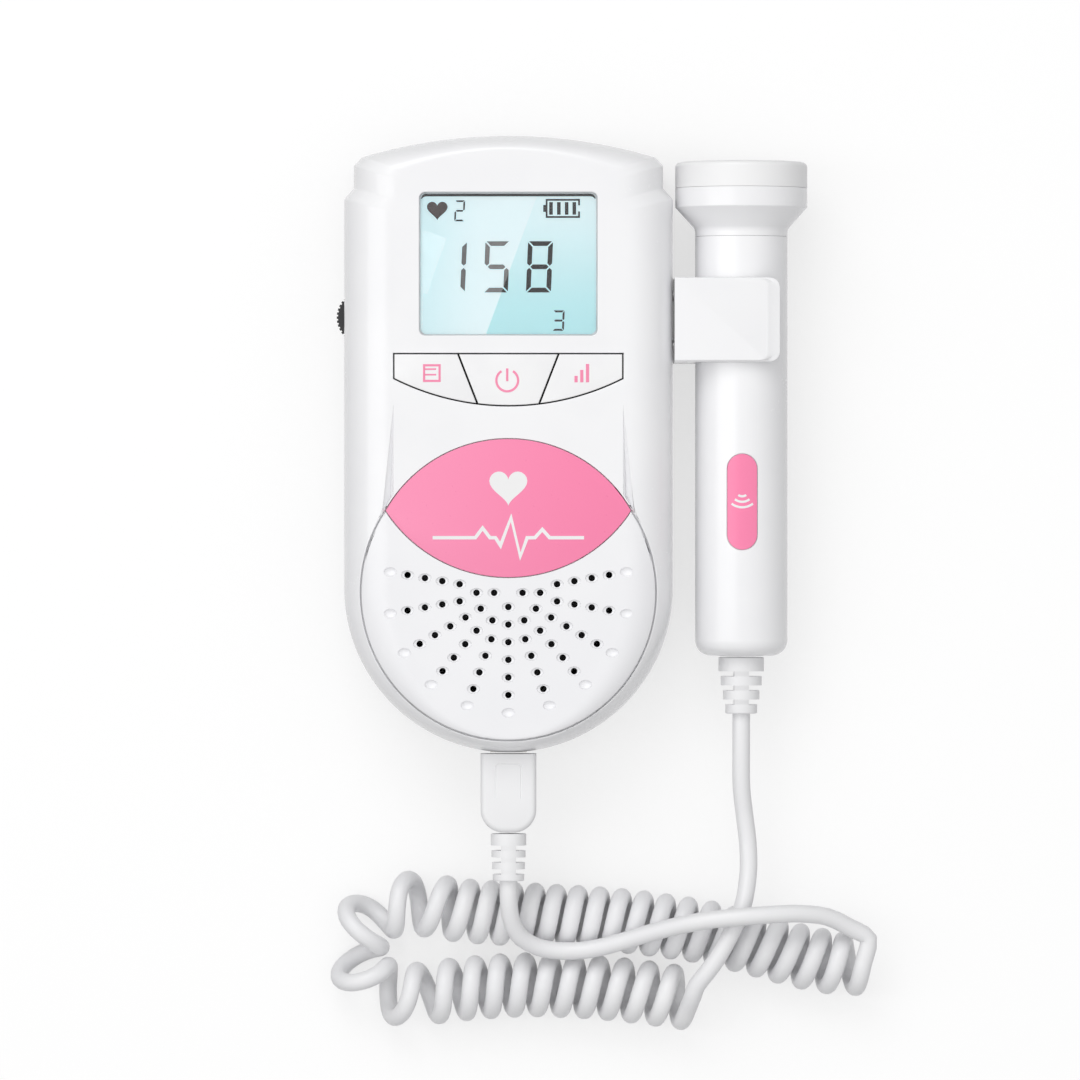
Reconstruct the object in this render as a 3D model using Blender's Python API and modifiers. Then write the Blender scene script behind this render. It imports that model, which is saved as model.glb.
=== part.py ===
"""Hand-held fetal doppler with a clip-on probe and a curly lead, in metres, +Z up.

The main unit lies on its back: +X is its right side, +Y its top end and +Z comes out of its face.
The origin is on the back face, midway between the ends.
"""

import math

import bmesh
import bpy
from mathutils import Matrix, Vector

# Fits that the whole object shares
GAP = 0.0003
OVERRUN = 0.004
WELD = 0.00001
RUN_SIDES = 24
PROBE_SIDES = 32
CELL_SIDES = 16
SMALL_SIDES = 12
BOTTOM_ARC_STEPS = 24
TOP_ARC_STEPS = 10
ROUND_STEPS = 5
LENS_STEPS = 14
KEY_EDGE_STEPS = 6
CORNER_STEPS = 4
HALF_TURN_STEPS = 12
LEAST_MITRE_SHARE = 0.5

# Main unit, outside
CASE_LENGTH = 0.135
CASE_WIDTH = 0.072
CASE_DEPTH = 0.033
TOP_END_Y = CASE_LENGTH / 2
FRONT_DEPTH = 0.018
PARTING = CASE_DEPTH - FRONT_DEPTH
SHOULDER_INSET = 0.0021
SHOULDER_WIDTH = CASE_WIDTH - 2 * SHOULDER_INSET
SHOULDER_DROP = 0.0115
SHOULDER_STEP = 0.0024
TOP_ARC_RADIUS = 0.112
TOP_CORNER = 0.0018
SIDE_ROUND_WIDTH = 0.010
END_ROUND_WIDTH = 0.0035
BACK_ROUND_HEIGHT = 0.005
BACK_ROUND_WIDTH = 0.004
WALL = 0.0022
FRONT_WALL = 0.0026

# Grille panel, concentric with the bottom end but for a small shift
PANEL_INSET = 0.0039
PANEL_SHIFT = 0.001
PANEL_RADIUS = CASE_WIDTH / 2 - PANEL_INSET
PANEL_Y = (CASE_WIDTH - CASE_LENGTH) / 2 - PANEL_SHIFT
PANEL_TOP_Y = PANEL_Y + PANEL_RADIUS

# Keys and their switches, a set way above the grille panel
KEY_PANEL_WIDTH = 0.050
KEY_PANEL_RISE = 0.0086
KEY_HEIGHT = 0.01145
KEY_SIDE_HEIGHT = 0.0055
KEY_BOTTOM_Y = PANEL_TOP_Y + KEY_PANEL_RISE
KEY_TOP_Y = KEY_BOTTOM_Y + KEY_HEIGHT
KEY_SPLIT_TOP = 0.0110
KEY_SPLIT_BOTTOM = 0.0067
KEY_PROUD = 0.0004
KEY_TRAVEL = 0.0006
KEY_PLUNGER_RADIUS = 0.0018
KEY_SIDE_X = 0.0165
KEY_SWITCH_RISE = 0.0063
KEY_SWITCH_Y = KEY_BOTTOM_Y + KEY_SWITCH_RISE
SWITCH_SIZE = 0.006
SWITCH_HEIGHT = 0.0035
SWITCH_BUTTON_RADIUS = 0.0016
SWITCH_BUTTON_HEIGHT = 0.0005

# Display, which fills the room between the keys and the top end
WINDOW_SIDE_MARGIN = 0.0169
WINDOW_TOP_MARGIN = 0.013
WINDOW_KEY_GAP = 0.00425
WINDOW_WIDTH = CASE_WIDTH - 2 * WINDOW_SIDE_MARGIN
WINDOW_HEIGHT = TOP_END_Y - WINDOW_TOP_MARGIN - KEY_TOP_Y - WINDOW_KEY_GAP
WINDOW_Y = TOP_END_Y - WINDOW_TOP_MARGIN - WINDOW_HEIGHT / 2
WINDOW_CORNER = 0.0013
WINDOW_THICKNESS = 0.0011
WINDOW_SUNK = 0.0006
WINDOW_LEDGE = 0.0012
MODULE_MARGIN = 0.0025
MODULE_THICKNESS = 0.0028
LIGHT_THICKNESS = 0.0027

# Case screws and the posts that take them, in the corners between the board and the walls
POST_INSET = 0.006
POST_TOP_MARGIN = 0.0175
POST_PANEL_DROP = 0.0056
POST_X = CASE_WIDTH / 2 - POST_INSET
POST_HIGH_Y = TOP_END_Y - POST_TOP_MARGIN
POST_LOW_Y = PANEL_TOP_Y - POST_PANEL_DROP
POST_RADIUS = 0.003
BACK_POST_RADIUS = 0.0042
SCREW_RADIUS = 0.0012
SCREW_HEAD_RADIUS = 0.0026
SCREW_HEAD_HEIGHT = 0.0018
SCREW_HEAD_CROWN = 0.0007
SCREW_BITE = 0.003
SCREW_SUNK = 0.001
SCREW_LENGTH = PARTING + SCREW_BITE - SCREW_SUNK

# Main circuit board, behind the display and between the posts
BOARD_SIDE_ROOM = 0.0015
BOARD_END_ROOM = 0.009
BOARD_PANEL_DROP = 0.0091
BOARD_THICKNESS = 0.0016
BOARD_WIDTH = 2 * (POST_X - POST_RADIUS - BOARD_SIDE_ROOM)
BOARD_LOW_Y = PANEL_TOP_Y - BOARD_PANEL_DROP
BOARD_HIGH_Y = TOP_END_Y - BOARD_END_ROOM
BOARD_TOP = CASE_DEPTH - FRONT_WALL - MODULE_THICKNESS - LIGHT_THICKNESS - 3 * GAP

# Holes of the grille panel, and the speaker behind it
HOLE_RADIUS = 0.00072
HOLE_SIDES = 8
DIMPLE_RADIUS = 0.00145
DIMPLE_DEPTH = 0.00045
HOLE_FIRST_RING = 0.0031
HOLE_RING_STEP = 0.00384
HOLE_RINGS = 7
# Angle between the holes of the first ring, the second and all others, and how many lie to each side
HOLE_RING_SPOKES = (
    (math.radians(90), 1),
    (math.radians(30), 3),
    (math.radians(20), 5),
)
CONE_RADIUS = 0.0164
SPEAKER_FRAME_WIDTH = 0.0036
SPEAKER_TAPER = 0.0049
SPEAKER_RADIUS = CONE_RADIUS + SPEAKER_FRAME_WIDTH
SPEAKER_NECK_RADIUS = CONE_RADIUS - SPEAKER_TAPER
SPEAKER_DEPTH = 0.0062
SPEAKER_RIM = 0.0012
SPEAKER_VENT_RADIUS = 0.005
CONE_DEPTH = 0.0042
CONE_THICKNESS = 0.0005
DUST_CAP_RADIUS = 0.006
DUST_CAP_RISE = 0.0016
MAGNET_RADIUS = 0.0095
MAGNET_HEIGHT = 0.0033
CLOTH_THICKNESS = 0.0006

# Label plate, a lens between two arcs
LABEL_SIDE_MARGIN = 0.0093
LABEL_TIP_RISE = 0.0179
LABEL_HALF_WIDTH = CASE_WIDTH / 2 - LABEL_SIDE_MARGIN
LABEL_TIP_Y = PANEL_Y + LABEL_TIP_RISE
LABEL_UP = 0.0156
LABEL_DOWN = 0.0145
LABEL_THICKNESS = 0.0009
LABEL_PROUD = 0.0001

# Batteries, their bay and its cover. The headroom over the bay is for the parts under the board
BAY_HEADROOM = 0.0042
BAY_WALL = 0.0012
BAY_SIDE_ROOM = 0.0009
BAY_END_ROOM = 0.0076
CELL_SPREAD = 0.0004
CELL_ROOM = BOARD_TOP - BOARD_THICKNESS - BAY_HEADROOM - BAY_WALL - WALL - 2 * GAP
CELL_RADIUS = CELL_ROOM / 2
CELL_X = CELL_RADIUS + CELL_SPREAD
CELL_LENGTH = 0.0495
CELL_NUB_RADIUS = 0.0027
CELL_NUB_LENGTH = 0.001
CELL_EDGE = 0.0006
BAY_HALF_WIDTH = CELL_X + CELL_RADIUS + BAY_SIDE_ROOM
BAY_LOW_Y = BAY_END_ROOM - CASE_LENGTH / 2
CONTACT_THICKNESS = 0.0004
CONTACT_INSET = 0.0016
CONTACT_WIDTH = 2 * (CELL_RADIUS - CONTACT_INSET)
SPRING_LENGTH = 0.0045
SPRING_WIRE = 0.0007
SPRING_INSET = 0.0029
SPRING_WIDE_RADIUS = CELL_RADIUS - SPRING_INSET
SPRING_NARROW_RADIUS = 0.0026
SPRING_TURNS = 4
SPRING_POINTS = 7
COVER_LEDGE = 0.002
COVER_LIP_HEIGHT = 0.008
COVER_LIP_DEPTH = 0.0050
TONGUE_HALF_WIDTH = 0.0032
TONGUE_THICKNESS = 0.0008
TONGUE_REACH = 0.0014
GRIP_COUNT = 4
GRIP_PITCH = 0.0022
GRIP_WIDTH = 0.001
GRIP_DEPTH = 0.0006
GRIP_LENGTH = 0.014
GRIP_END_ROOM = 0.0175
GRIP_Y = GRIP_END_ROOM - CASE_LENGTH / 2

# Volume wheel
WHEEL_RADIUS = 0.00585
WHEEL_PROUD = 0.0017
WHEEL_TOP_MARGIN = 0.0397
WHEEL_Y = TOP_END_Y - WHEEL_TOP_MARGIN
WHEEL_THICKNESS = 0.0026
WHEEL_SHAFT_RADIUS = 0.0015
WHEEL_SLOT_MARGIN = 0.0005
POT_LENGTH = 0.009
POT_WIDTH = 0.0088
POT_THICKNESS = 0.0023

# Headphone socket in the top end
JACK_X = 0.015
JACK_LENGTH = 0.012
JACK_WIDTH = 0.007
JACK_HEIGHT = 0.0056
JACK_NOSE_RADIUS = 0.0027
JACK_BORE_RADIUS = 0.0018
JACK_BORE_DEPTH = 0.010
JACK_NOSE_SUNK = 0.0004

# Lead's plug and its socket in the bottom end
PLUG_FACE_DROP = 0.0114
PLUG_Z = CASE_DEPTH - PLUG_FACE_DROP
PLUG_WIDTH = 0.0122
PLUG_HEIGHT = 0.0082
PLUG_LENGTH = 0.0172
PLUG_CORNER = 0.0050
PLUG_EDGE = 0.0012
TONGUE_WIDTH = 0.0080
TONGUE_HEIGHT = 0.0030
TONGUE_LENGTH = 0.0064
SOCKET_WIDTH = 0.0112
SOCKET_HEIGHT = 0.0054
SOCKET_LENGTH = 0.008
RELIEF_RADIUS = 0.0039
RELIEF_END_RADIUS = 0.00345
RELIEF_CORE_RADIUS = 0.0026
RELIEF_LENGTH = 0.0104
RELIEF_RIBS = 3
RELIEF_SLOT = 0.0011

# Probe clip on the right side, about midway between the posts
CLIP_POST_DROP = 0.0041
CLIP_LOW_Y = (POST_HIGH_Y + POST_LOW_Y) / 2 - CLIP_POST_DROP
CLIP_HEIGHT = 0.0185
CLIP_PLATE = 0.0024
CLIP_REACH = 0.0083
CLIP_CHAMFER = 0.0016
CLIP_EDGE = 0.0007
CLIP_SCREW_SPREAD = 0.0055
CLIP_SCREW_LENGTH = 0.0055

# Probe, held clear of the table and of the main unit
PROBE_OFFSET = 0.0151
PROBE_LIFT = 0.0025
PROBE_CLIP_DROP = 0.0643
HORN_RADIUS = 0.0145
PROBE_X = CASE_WIDTH / 2 + PROBE_OFFSET
PROBE_Z = HORN_RADIUS + PROBE_LIFT
PROBE_LOW_Y = CLIP_LOW_Y - PROBE_CLIP_DROP
HANDLE_RADIUS = 0.01015
HANDLE_LENGTH = 0.0917
HANDLE_CORNER = 0.0035
HANDLE_WALL = 0.0018
HANDLE_FLOOR = 0.0030
HANDLE_EXIT_RADIUS = 0.0026
HORN_CONE = 0.0064
HORN_RIM = 0.0042
HORN_WALL = 0.0022
HORN_SPIGOT = 0.006
FACE_THICKNESS = 0.0054
FACE_EDGE = 0.0011
CRYSTAL_INSET = 0.0013
CRYSTAL_RADIUS = HORN_RADIUS - HORN_WALL - CRYSTAL_INSET
CRYSTAL_THICKNESS = 0.0008
BACKING_THICKNESS = 0.003
PROBE_BOARD_LENGTH = 0.055
PROBE_BOARD_THICKNESS = 0.0012
PROBE_BOARD_START = 0.012
PILL_WIDTH = 0.0065
PILL_LENGTH = 0.0209
PILL_START = 0.0233
PILL_LOW_Y = PROBE_LOW_Y + PILL_START
PILL_DEPTH = 0.0004
PILL_THICKNESS = 0.0002
PROBE_RELIEF_RADIUS = 0.0050
PROBE_RELIEF_END_RADIUS = 0.0035
PROBE_RELIEF_LENGTH = 0.0124

# The main unit's side stays plumb past the clip's screws and past the volume control
SIDE_PAST_CLIP = 0.005
SIDE_BOARD_DROP = 0.002
SIDE_TOP = max(PROBE_Z + SIDE_PAST_CLIP, BOARD_TOP - SIDE_BOARD_DROP)
FRONT_ROUND_HEIGHT = CASE_DEPTH - SIDE_TOP

# Curly lead
CORD_DIAMETER = 0.0039
CURL_RADIUS = 0.00525
CURL_COUNT = 34
CURL_POINTS = 9
AXIS_SPACING_SHARE = 0.05
LEAD_SPACING_SHARE = 2
CURL_AXIS = (
    (0.0780, -0.1145),
    (0.0720, -0.1143),
    (0.0640, -0.1128),
    (0.0560, -0.1106),
    (0.0480, -0.1086),
    (0.0400, -0.1070),
    (0.0245, -0.1050),
    (0.0070, -0.1039),
    (-0.0090, -0.1029),
    (-0.0165, -0.1018),
    (-0.0235, -0.1013),
    (-0.0306, -0.1042),
    (-0.0335, -0.1113),
    (-0.0306, -0.1184),
    (-0.0235, -0.1213),
    (-0.0165, -0.1208),
    (-0.0090, -0.1200),
    (0.0050, -0.1192),
    (0.0220, -0.1200),
    (0.0400, -0.1222),
)
CURL_PITCH_SHARES = (
    1.30, 1.15, 1.08, 1.05, 1.05, 1.05, 1.0, 1.0, 1.05, 1.45,
    2.1, 2.3, 2.3, 2.3, 2.1, 1.5, 1.15, 1.12, 1.12, 1.2,
)
PLUG_LEAD = (
    (0.0000, -0.0961, 0.0216),
    (0.0000, -0.0995, 0.0213),
    (0.0004, -0.1035, 0.0198),
    (0.0020, -0.1075, 0.0176),
    (0.0062, -0.1104, 0.0153),
    (0.0120, -0.1114, 0.0143),
    (0.0180, -0.1110, 0.0147),
    (0.0240, -0.1095, 0.0161),
    (0.0300, -0.1076, 0.0176),
    (0.0365, -0.1058, 0.0192),
    (0.0435, -0.1044, 0.0208),
    (0.0510, -0.1036, 0.0217),
    (0.0580, -0.1031, 0.0209),
    (0.0640, -0.1030, 0.0190),
    (0.0700, -0.1038, 0.0164),
    (0.0750, -0.1062, 0.0141),
)
PROBE_LEAD = (
    (0.0414, -0.1188, 0.0163),
    (0.0436, -0.1160, 0.0172),
    (0.0460, -0.1126, 0.0175),
    (0.0481, -0.1089, 0.0175),
    (0.0500, -0.1052, 0.0172),
    (0.0514, -0.1016, 0.0165),
    (0.0523, -0.0976, 0.0152),
    (0.0528, -0.0926, 0.0137),
    (0.0526, -0.0872, 0.0131),
    (0.0519, -0.0815, 0.0138),
    (0.0512, -0.0755, 0.0153),
    (0.0511, -0.0690, 0.0165),
    (0.0511, -0.0630, 0.0170),
)

TO_X = Matrix(((0, 0, 1), (1, 0, 0), (0, 1, 0))).to_euler()
TO_Y = (-math.pi / 2, 0, 0)
TO_XZ = (math.pi / 2, 0, 0)


def clear_scene():
    for obj in list(bpy.data.objects):
        bpy.data.objects.remove(obj, do_unlink=True)


def new_collection(name):
    group = bpy.data.collections.new(name)
    bpy.context.scene.collection.children.link(group)
    return group


clear_scene()
PARTS = new_collection("fetal_doppler")
CUTTERS = new_collection("cutters")


def paint(obj, colour, roughness, metallic=0.0):
    """Gives a piece its own plain finish."""
    material = bpy.data.materials.new(obj.name + "_finish")
    material.use_nodes = True
    shader = material.node_tree.nodes["Principled BSDF"]
    shader.inputs["Base Color"].default_value = (*colour, 1.0)
    shader.inputs["Roughness"].default_value = roughness
    shader.inputs["Metallic"].default_value = metallic
    obj.data.materials.clear()
    obj.data.materials.append(material)
    return obj


def place(name, data, where=(0, 0, 0), turn=(0, 0, 0), group=PARTS):
    obj = bpy.data.objects.new(name, data)
    obj.location = where
    obj.rotation_euler = turn
    group.objects.link(obj)
    return obj


def as_helper(obj):
    """Moves a piece to the cutters, where it is neither rendered nor built."""
    PARTS.objects.unlink(obj)
    CUTTERS.objects.link(obj)
    obj.hide_render = True
    obj.display_type = "WIRE"
    return obj


def join(obj, helper, operation):
    step = obj.modifiers.new(operation.lower(), "BOOLEAN")
    step.operation = operation
    step.solver = "EXACT"
    step.object = helper


def cut(obj, *helpers):
    for helper in helpers:
        join(obj, as_helper(helper), "DIFFERENCE")
    return obj


def add(obj, *helpers):
    for helper in helpers:
        join(obj, as_helper(helper), "UNION")
    return obj


def keep_within(obj, helper):
    join(obj, as_helper(helper), "INTERSECT")
    return obj


def smooth(obj, limit=math.radians(35)):
    obj.data.shade_smooth()
    obj.data.set_sharp_from_angle(angle=limit)
    return obj


def soften(obj, width, segments=2):
    edge = obj.modifiers.new("edges", "BEVEL")
    edge.width = width
    edge.segments = segments
    edge.limit_method = "ANGLE"
    edge.angle_limit = math.radians(50)
    return obj


def block(name, low, high):
    """A box between two corners, with its origin at its middle."""
    middle = [(a + b) / 2 for a, b in zip(low, high)]
    size = [b - a for a, b in zip(low, high)]
    mesh = bpy.data.meshes.new(name)
    solid = bmesh.new()
    bmesh.ops.create_cube(solid, size=1, matrix=Matrix.Diagonal((*size, 1)))
    solid.to_mesh(mesh)
    solid.free()
    return place(name, mesh, middle)


def rods(
    name, centres, radius, low, high, sides=SMALL_SIDES, end_radius=None, turn=(0, 0, 0), where=(0, 0, 0)
):
    """Upright cylinders, or cones where the top end has its own radius."""
    mesh = bpy.data.meshes.new(name)
    solid = bmesh.new()
    for x, y in centres:
        bmesh.ops.create_cone(
            solid,
            cap_ends=True,
            segments=sides,
            radius1=radius,
            radius2=radius if end_radius is None else end_radius,
            depth=high - low,
            matrix=Matrix.Translation((x, y, (low + high) / 2)),
        )
    solid.to_mesh(mesh)
    solid.free()
    return smooth(place(name, mesh, where, turn))


def slab(name, outline, low, high, where=(0, 0, 0), turn=(0, 0, 0)):
    """A flat outline made solid between two heights along its own Z."""
    curve = bpy.data.curves.new(name, "CURVE")
    curve.dimensions = "2D"
    curve.fill_mode = "BOTH"
    curve.extrude = (high - low) / 2
    spline = curve.splines.new("POLY")
    spline.points.add(len(outline) - 1)
    for point, (x, y) in zip(spline.points, outline):
        point.co = (x, y, 0, 1)
    spline.use_cyclic_u = True
    flat = place(name + "_outline", curve)
    bpy.context.view_layer.update()
    mesh = bpy.data.meshes.new_from_object(flat.evaluated_get(bpy.context.evaluated_depsgraph_get()))
    bpy.data.objects.remove(flat, do_unlink=True)
    solid = bmesh.new()
    solid.from_mesh(mesh)
    bmesh.ops.remove_doubles(solid, verts=solid.verts, dist=WELD)
    bmesh.ops.translate(solid, verts=solid.verts, vec=(0, 0, (low + high) / 2))
    solid.to_mesh(mesh)
    solid.free()
    mesh.name = name
    return smooth(place(name, mesh, where, turn))


def turned(name, profile, where, turn=(0, 0, 0), sides=RUN_SIDES, closed=False):
    """A profile of (radius, height) points, top first, turned about the piece's own Z."""
    mesh = bpy.data.meshes.new(name)
    points = [(radius, 0, height) for radius, height in profile]
    edges = [(i, i + 1) for i in range(len(points) - 1)]
    if closed:
        edges.append((len(points) - 1, 0))
    mesh.from_pydata(points, edges, [])
    obj = place(name, mesh, where, turn)
    spin = obj.modifiers.new("turn", "SCREW")
    spin.axis = "Z"
    spin.steps = sides
    spin.render_steps = sides
    spin.use_merge_vertices = True
    spin.merge_threshold = WELD
    spin.use_smooth_shade = True
    return obj


def arc(centre, radius, start, end, steps):
    """Points along an arc, angles in radians, both ends included."""
    return [
        (
            centre[0] + radius * math.cos(start + (end - start) * i / steps),
            centre[1] + radius * math.sin(start + (end - start) * i / steps),
        )
        for i in range(steps + 1)
    ]


def rounded_rectangle(width, height, corner, centre=(0, 0), steps=3):
    outline = []
    for number, (sx, sy) in enumerate(((1, 1), (-1, 1), (-1, -1), (1, -1))):
        middle = (centre[0] + sx * (width / 2 - corner), centre[1] + sy * (height / 2 - corner))
        start = number * math.pi / 2
        outline += arc(middle, corner, start, start + math.pi / 2, steps)
    return outline


def inset(outline, distance):
    """An anticlockwise outline moved inwards by one distance, with mitred corners."""
    moved = []
    for i, here in enumerate(outline):
        point = Vector(here)
        before = (point - Vector(outline[i - 1])).normalized()
        after = (Vector(outline[(i + 1) % len(outline)]) - point).normalized()
        left = Vector((-before.y - after.y, before.x + after.x)).normalized()
        share = max(left.dot(Vector((-before.y, before.x))), LEAST_MITRE_SHARE)
        moved.append(tuple(point + left * distance / share))
    return moved


def case_outline():
    """The unit's outline from the front, anticlockwise from the left end of the bottom arc."""
    half = CASE_WIDTH / 2
    top = CASE_LENGTH / 2
    shoulder = SHOULDER_WIDTH / 2
    bottom = arc((0, half - top), half, math.pi, 2 * math.pi, BOTTOM_ARC_STEPS)
    arc_centre = top - TOP_ARC_RADIUS
    lean = math.asin((shoulder - TOP_CORNER) / TOP_ARC_RADIUS)
    crown = arc((0, arc_centre), TOP_ARC_RADIUS, math.pi / 2 - lean, math.pi / 2 + lean, TOP_ARC_STEPS)
    corner_y = crown[0][1]
    step_y = top - SHOULDER_DROP
    right = [
        (half, step_y - SHOULDER_STEP),
        (shoulder, step_y),
        (shoulder, corner_y - TOP_CORNER),
    ]
    left = [(-x, y) for x, y in reversed(right)]
    return bottom + right + crown + left


def loft(name, sections):
    """A closed solid through outlines of as many points each, given as (outline, height) from low to high."""
    mesh = bpy.data.meshes.new(name)
    solid = bmesh.new()
    rings = [[solid.verts.new((x, y, height)) for x, y in outline] for outline, height in sections]
    for low, high in zip(rings, rings[1:]):
        for i in range(len(low)):
            j = (i + 1) % len(low)
            solid.faces.new((low[i], low[j], high[j], high[i]))
    solid.faces.new(list(reversed(rings[0])))
    solid.faces.new(rings[-1])
    solid.to_mesh(mesh)
    solid.free()
    return smooth(place(name, mesh))


def rounded_half(name, outline, foot, side, face, side_width, end_width):
    """Half a housing: straight from its foot to side height, then rounded over to its flat face."""
    reach = max(x for x, _ in outline)
    end = max(abs(y) for _, y in outline)
    across = (reach - side_width) / reach
    along = (end - end_width) / end
    sections = [(outline, foot)]
    for step in range(ROUND_STEPS + 1):
        angle = math.pi / 2 * step / ROUND_STEPS
        inward = 1 - math.cos(angle)
        ring = [(x * (1 - (1 - across) * inward), y * (1 - (1 - along) * inward)) for x, y in outline]
        sections.append((ring, side + (face - side) * math.sin(angle)))
    if face < foot:
        sections.reverse()
    return loft(name, sections)


def front_form(name, outline, foot, face):
    """The front half's rounded form over an outline, from its foot up to a flat face."""
    side = CASE_DEPTH - FRONT_ROUND_HEIGHT
    return rounded_half(name, outline, foot, side, face, SIDE_ROUND_WIDTH, END_ROUND_WIDTH)


def front_skin(name):
    """The front half's wall, following its rounded outside."""
    outline = case_outline()
    foot = PARTING + GAP / 2
    outside = front_form(name, outline, foot, CASE_DEPTH)
    inside = front_form(name + "_hollow", inset(outline, WALL), foot - OVERRUN, CASE_DEPTH - FRONT_WALL)
    return cut(outside, inside)


def back_skin(name):
    """The back half's wall, with the flat that the unit rests on."""
    outline = case_outline()
    foot = PARTING - GAP / 2
    outside = rounded_half(
        name, outline, foot, BACK_ROUND_HEIGHT, 0, BACK_ROUND_WIDTH, BACK_ROUND_WIDTH
    )
    inside = rounded_half(
        name + "_hollow",
        inset(outline, WALL),
        foot + OVERRUN,
        BACK_ROUND_HEIGHT,
        WALL,
        BACK_ROUND_WIDTH,
        BACK_ROUND_WIDTH,
    )
    return cut(outside, inside)


def lens_outline(grow=0.0):
    """The label's outline: an upper and a lower arc that meet in two tips."""
    half = LABEL_HALF_WIDTH
    outline = []
    for rise, turn in ((LABEL_DOWN, 1), (LABEL_UP, -1)):
        radius = (half**2 + rise**2) / (2 * rise)
        spread = math.asin(half / radius)
        middle = LABEL_TIP_Y - turn * (rise - radius)
        start = -turn * math.pi / 2 - spread
        side = arc((0, middle), radius + grow, start, start + 2 * spread, LENS_STEPS)
        outline += side[:-1]
    return outline


def key_panel_bottom(x):
    """Height of the key panel's curved lower edge at x."""
    rise = KEY_TOP_Y - KEY_SIDE_HEIGHT - KEY_BOTTOM_Y
    half = KEY_PANEL_WIDTH / 2
    radius = (half**2 + rise**2) / (2 * rise)
    return KEY_BOTTOM_Y + radius - math.sqrt(radius**2 - x**2)


def key_outline(left, right, steps=KEY_EDGE_STEPS):
    """A key between two edges, each given as (top x, bottom x), following the panel's lower edge."""
    lower = [left[1] + (right[1] - left[1]) * i / steps for i in range(steps + 1)]
    return [(x, key_panel_bottom(x)) for x in lower] + [(right[0], KEY_TOP_Y), (left[0], KEY_TOP_Y)]


PANEL_LEFT = (-KEY_PANEL_WIDTH / 2, -KEY_PANEL_WIDTH / 2)
PANEL_RIGHT = (KEY_PANEL_WIDTH / 2, KEY_PANEL_WIDTH / 2)
SPLIT_LEFT = (-KEY_SPLIT_TOP, -KEY_SPLIT_BOTTOM)
SPLIT_RIGHT = (KEY_SPLIT_TOP, KEY_SPLIT_BOTTOM)
KEYS = {
    "key_menu": (PANEL_LEFT, SPLIT_LEFT, -KEY_SIDE_X),
    "key_power": (SPLIT_LEFT, SPLIT_RIGHT, 0),
    "key_mode": (SPLIT_RIGHT, PANEL_RIGHT, KEY_SIDE_X),
}
SWITCH_TOP = BOARD_TOP + GAP + SWITCH_HEIGHT + SWITCH_BUTTON_HEIGHT
POSTS = [(sx * POST_X, y) for y in (POST_HIGH_Y, POST_LOW_Y) for sx in (-1, 1)]
WHEEL_X = -CASE_WIDTH / 2 - WHEEL_PROUD + WHEEL_RADIUS
POT_TOP = BOARD_TOP - BOARD_THICKNESS - GAP
WHEEL_TOP = POT_TOP - POT_THICKNESS - GAP
WHEEL_LOW = WHEEL_TOP - WHEEL_THICKNESS
CLIP_Y = CLIP_LOW_Y + CLIP_HEIGHT / 2
CLIP_SCREWS = [CLIP_Y - CLIP_SCREW_SPREAD, CLIP_Y + CLIP_SCREW_SPREAD]
PLUG_FACE_Y = -CASE_LENGTH / 2 - GAP
JACK_Z = BOARD_TOP - BOARD_THICKNESS - GAP - JACK_HEIGHT / 2


def end_wall_y(x):
    """Where the top end's outer face is at x."""
    return CASE_LENGTH / 2 - TOP_ARC_RADIUS + math.sqrt(TOP_ARC_RADIUS**2 - x**2)


def clip_screw_holes(name):
    """The holes for the clip's screws, through whichever half's wall is behind them."""
    low = CASE_WIDTH / 2 - WALL - OVERRUN / 2
    places = [(y, PROBE_Z) for y in CLIP_SCREWS]
    return rods(name, places, SCREW_RADIUS + GAP, low, CASE_WIDTH / 2 + OVERRUN, turn=TO_X)


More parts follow.
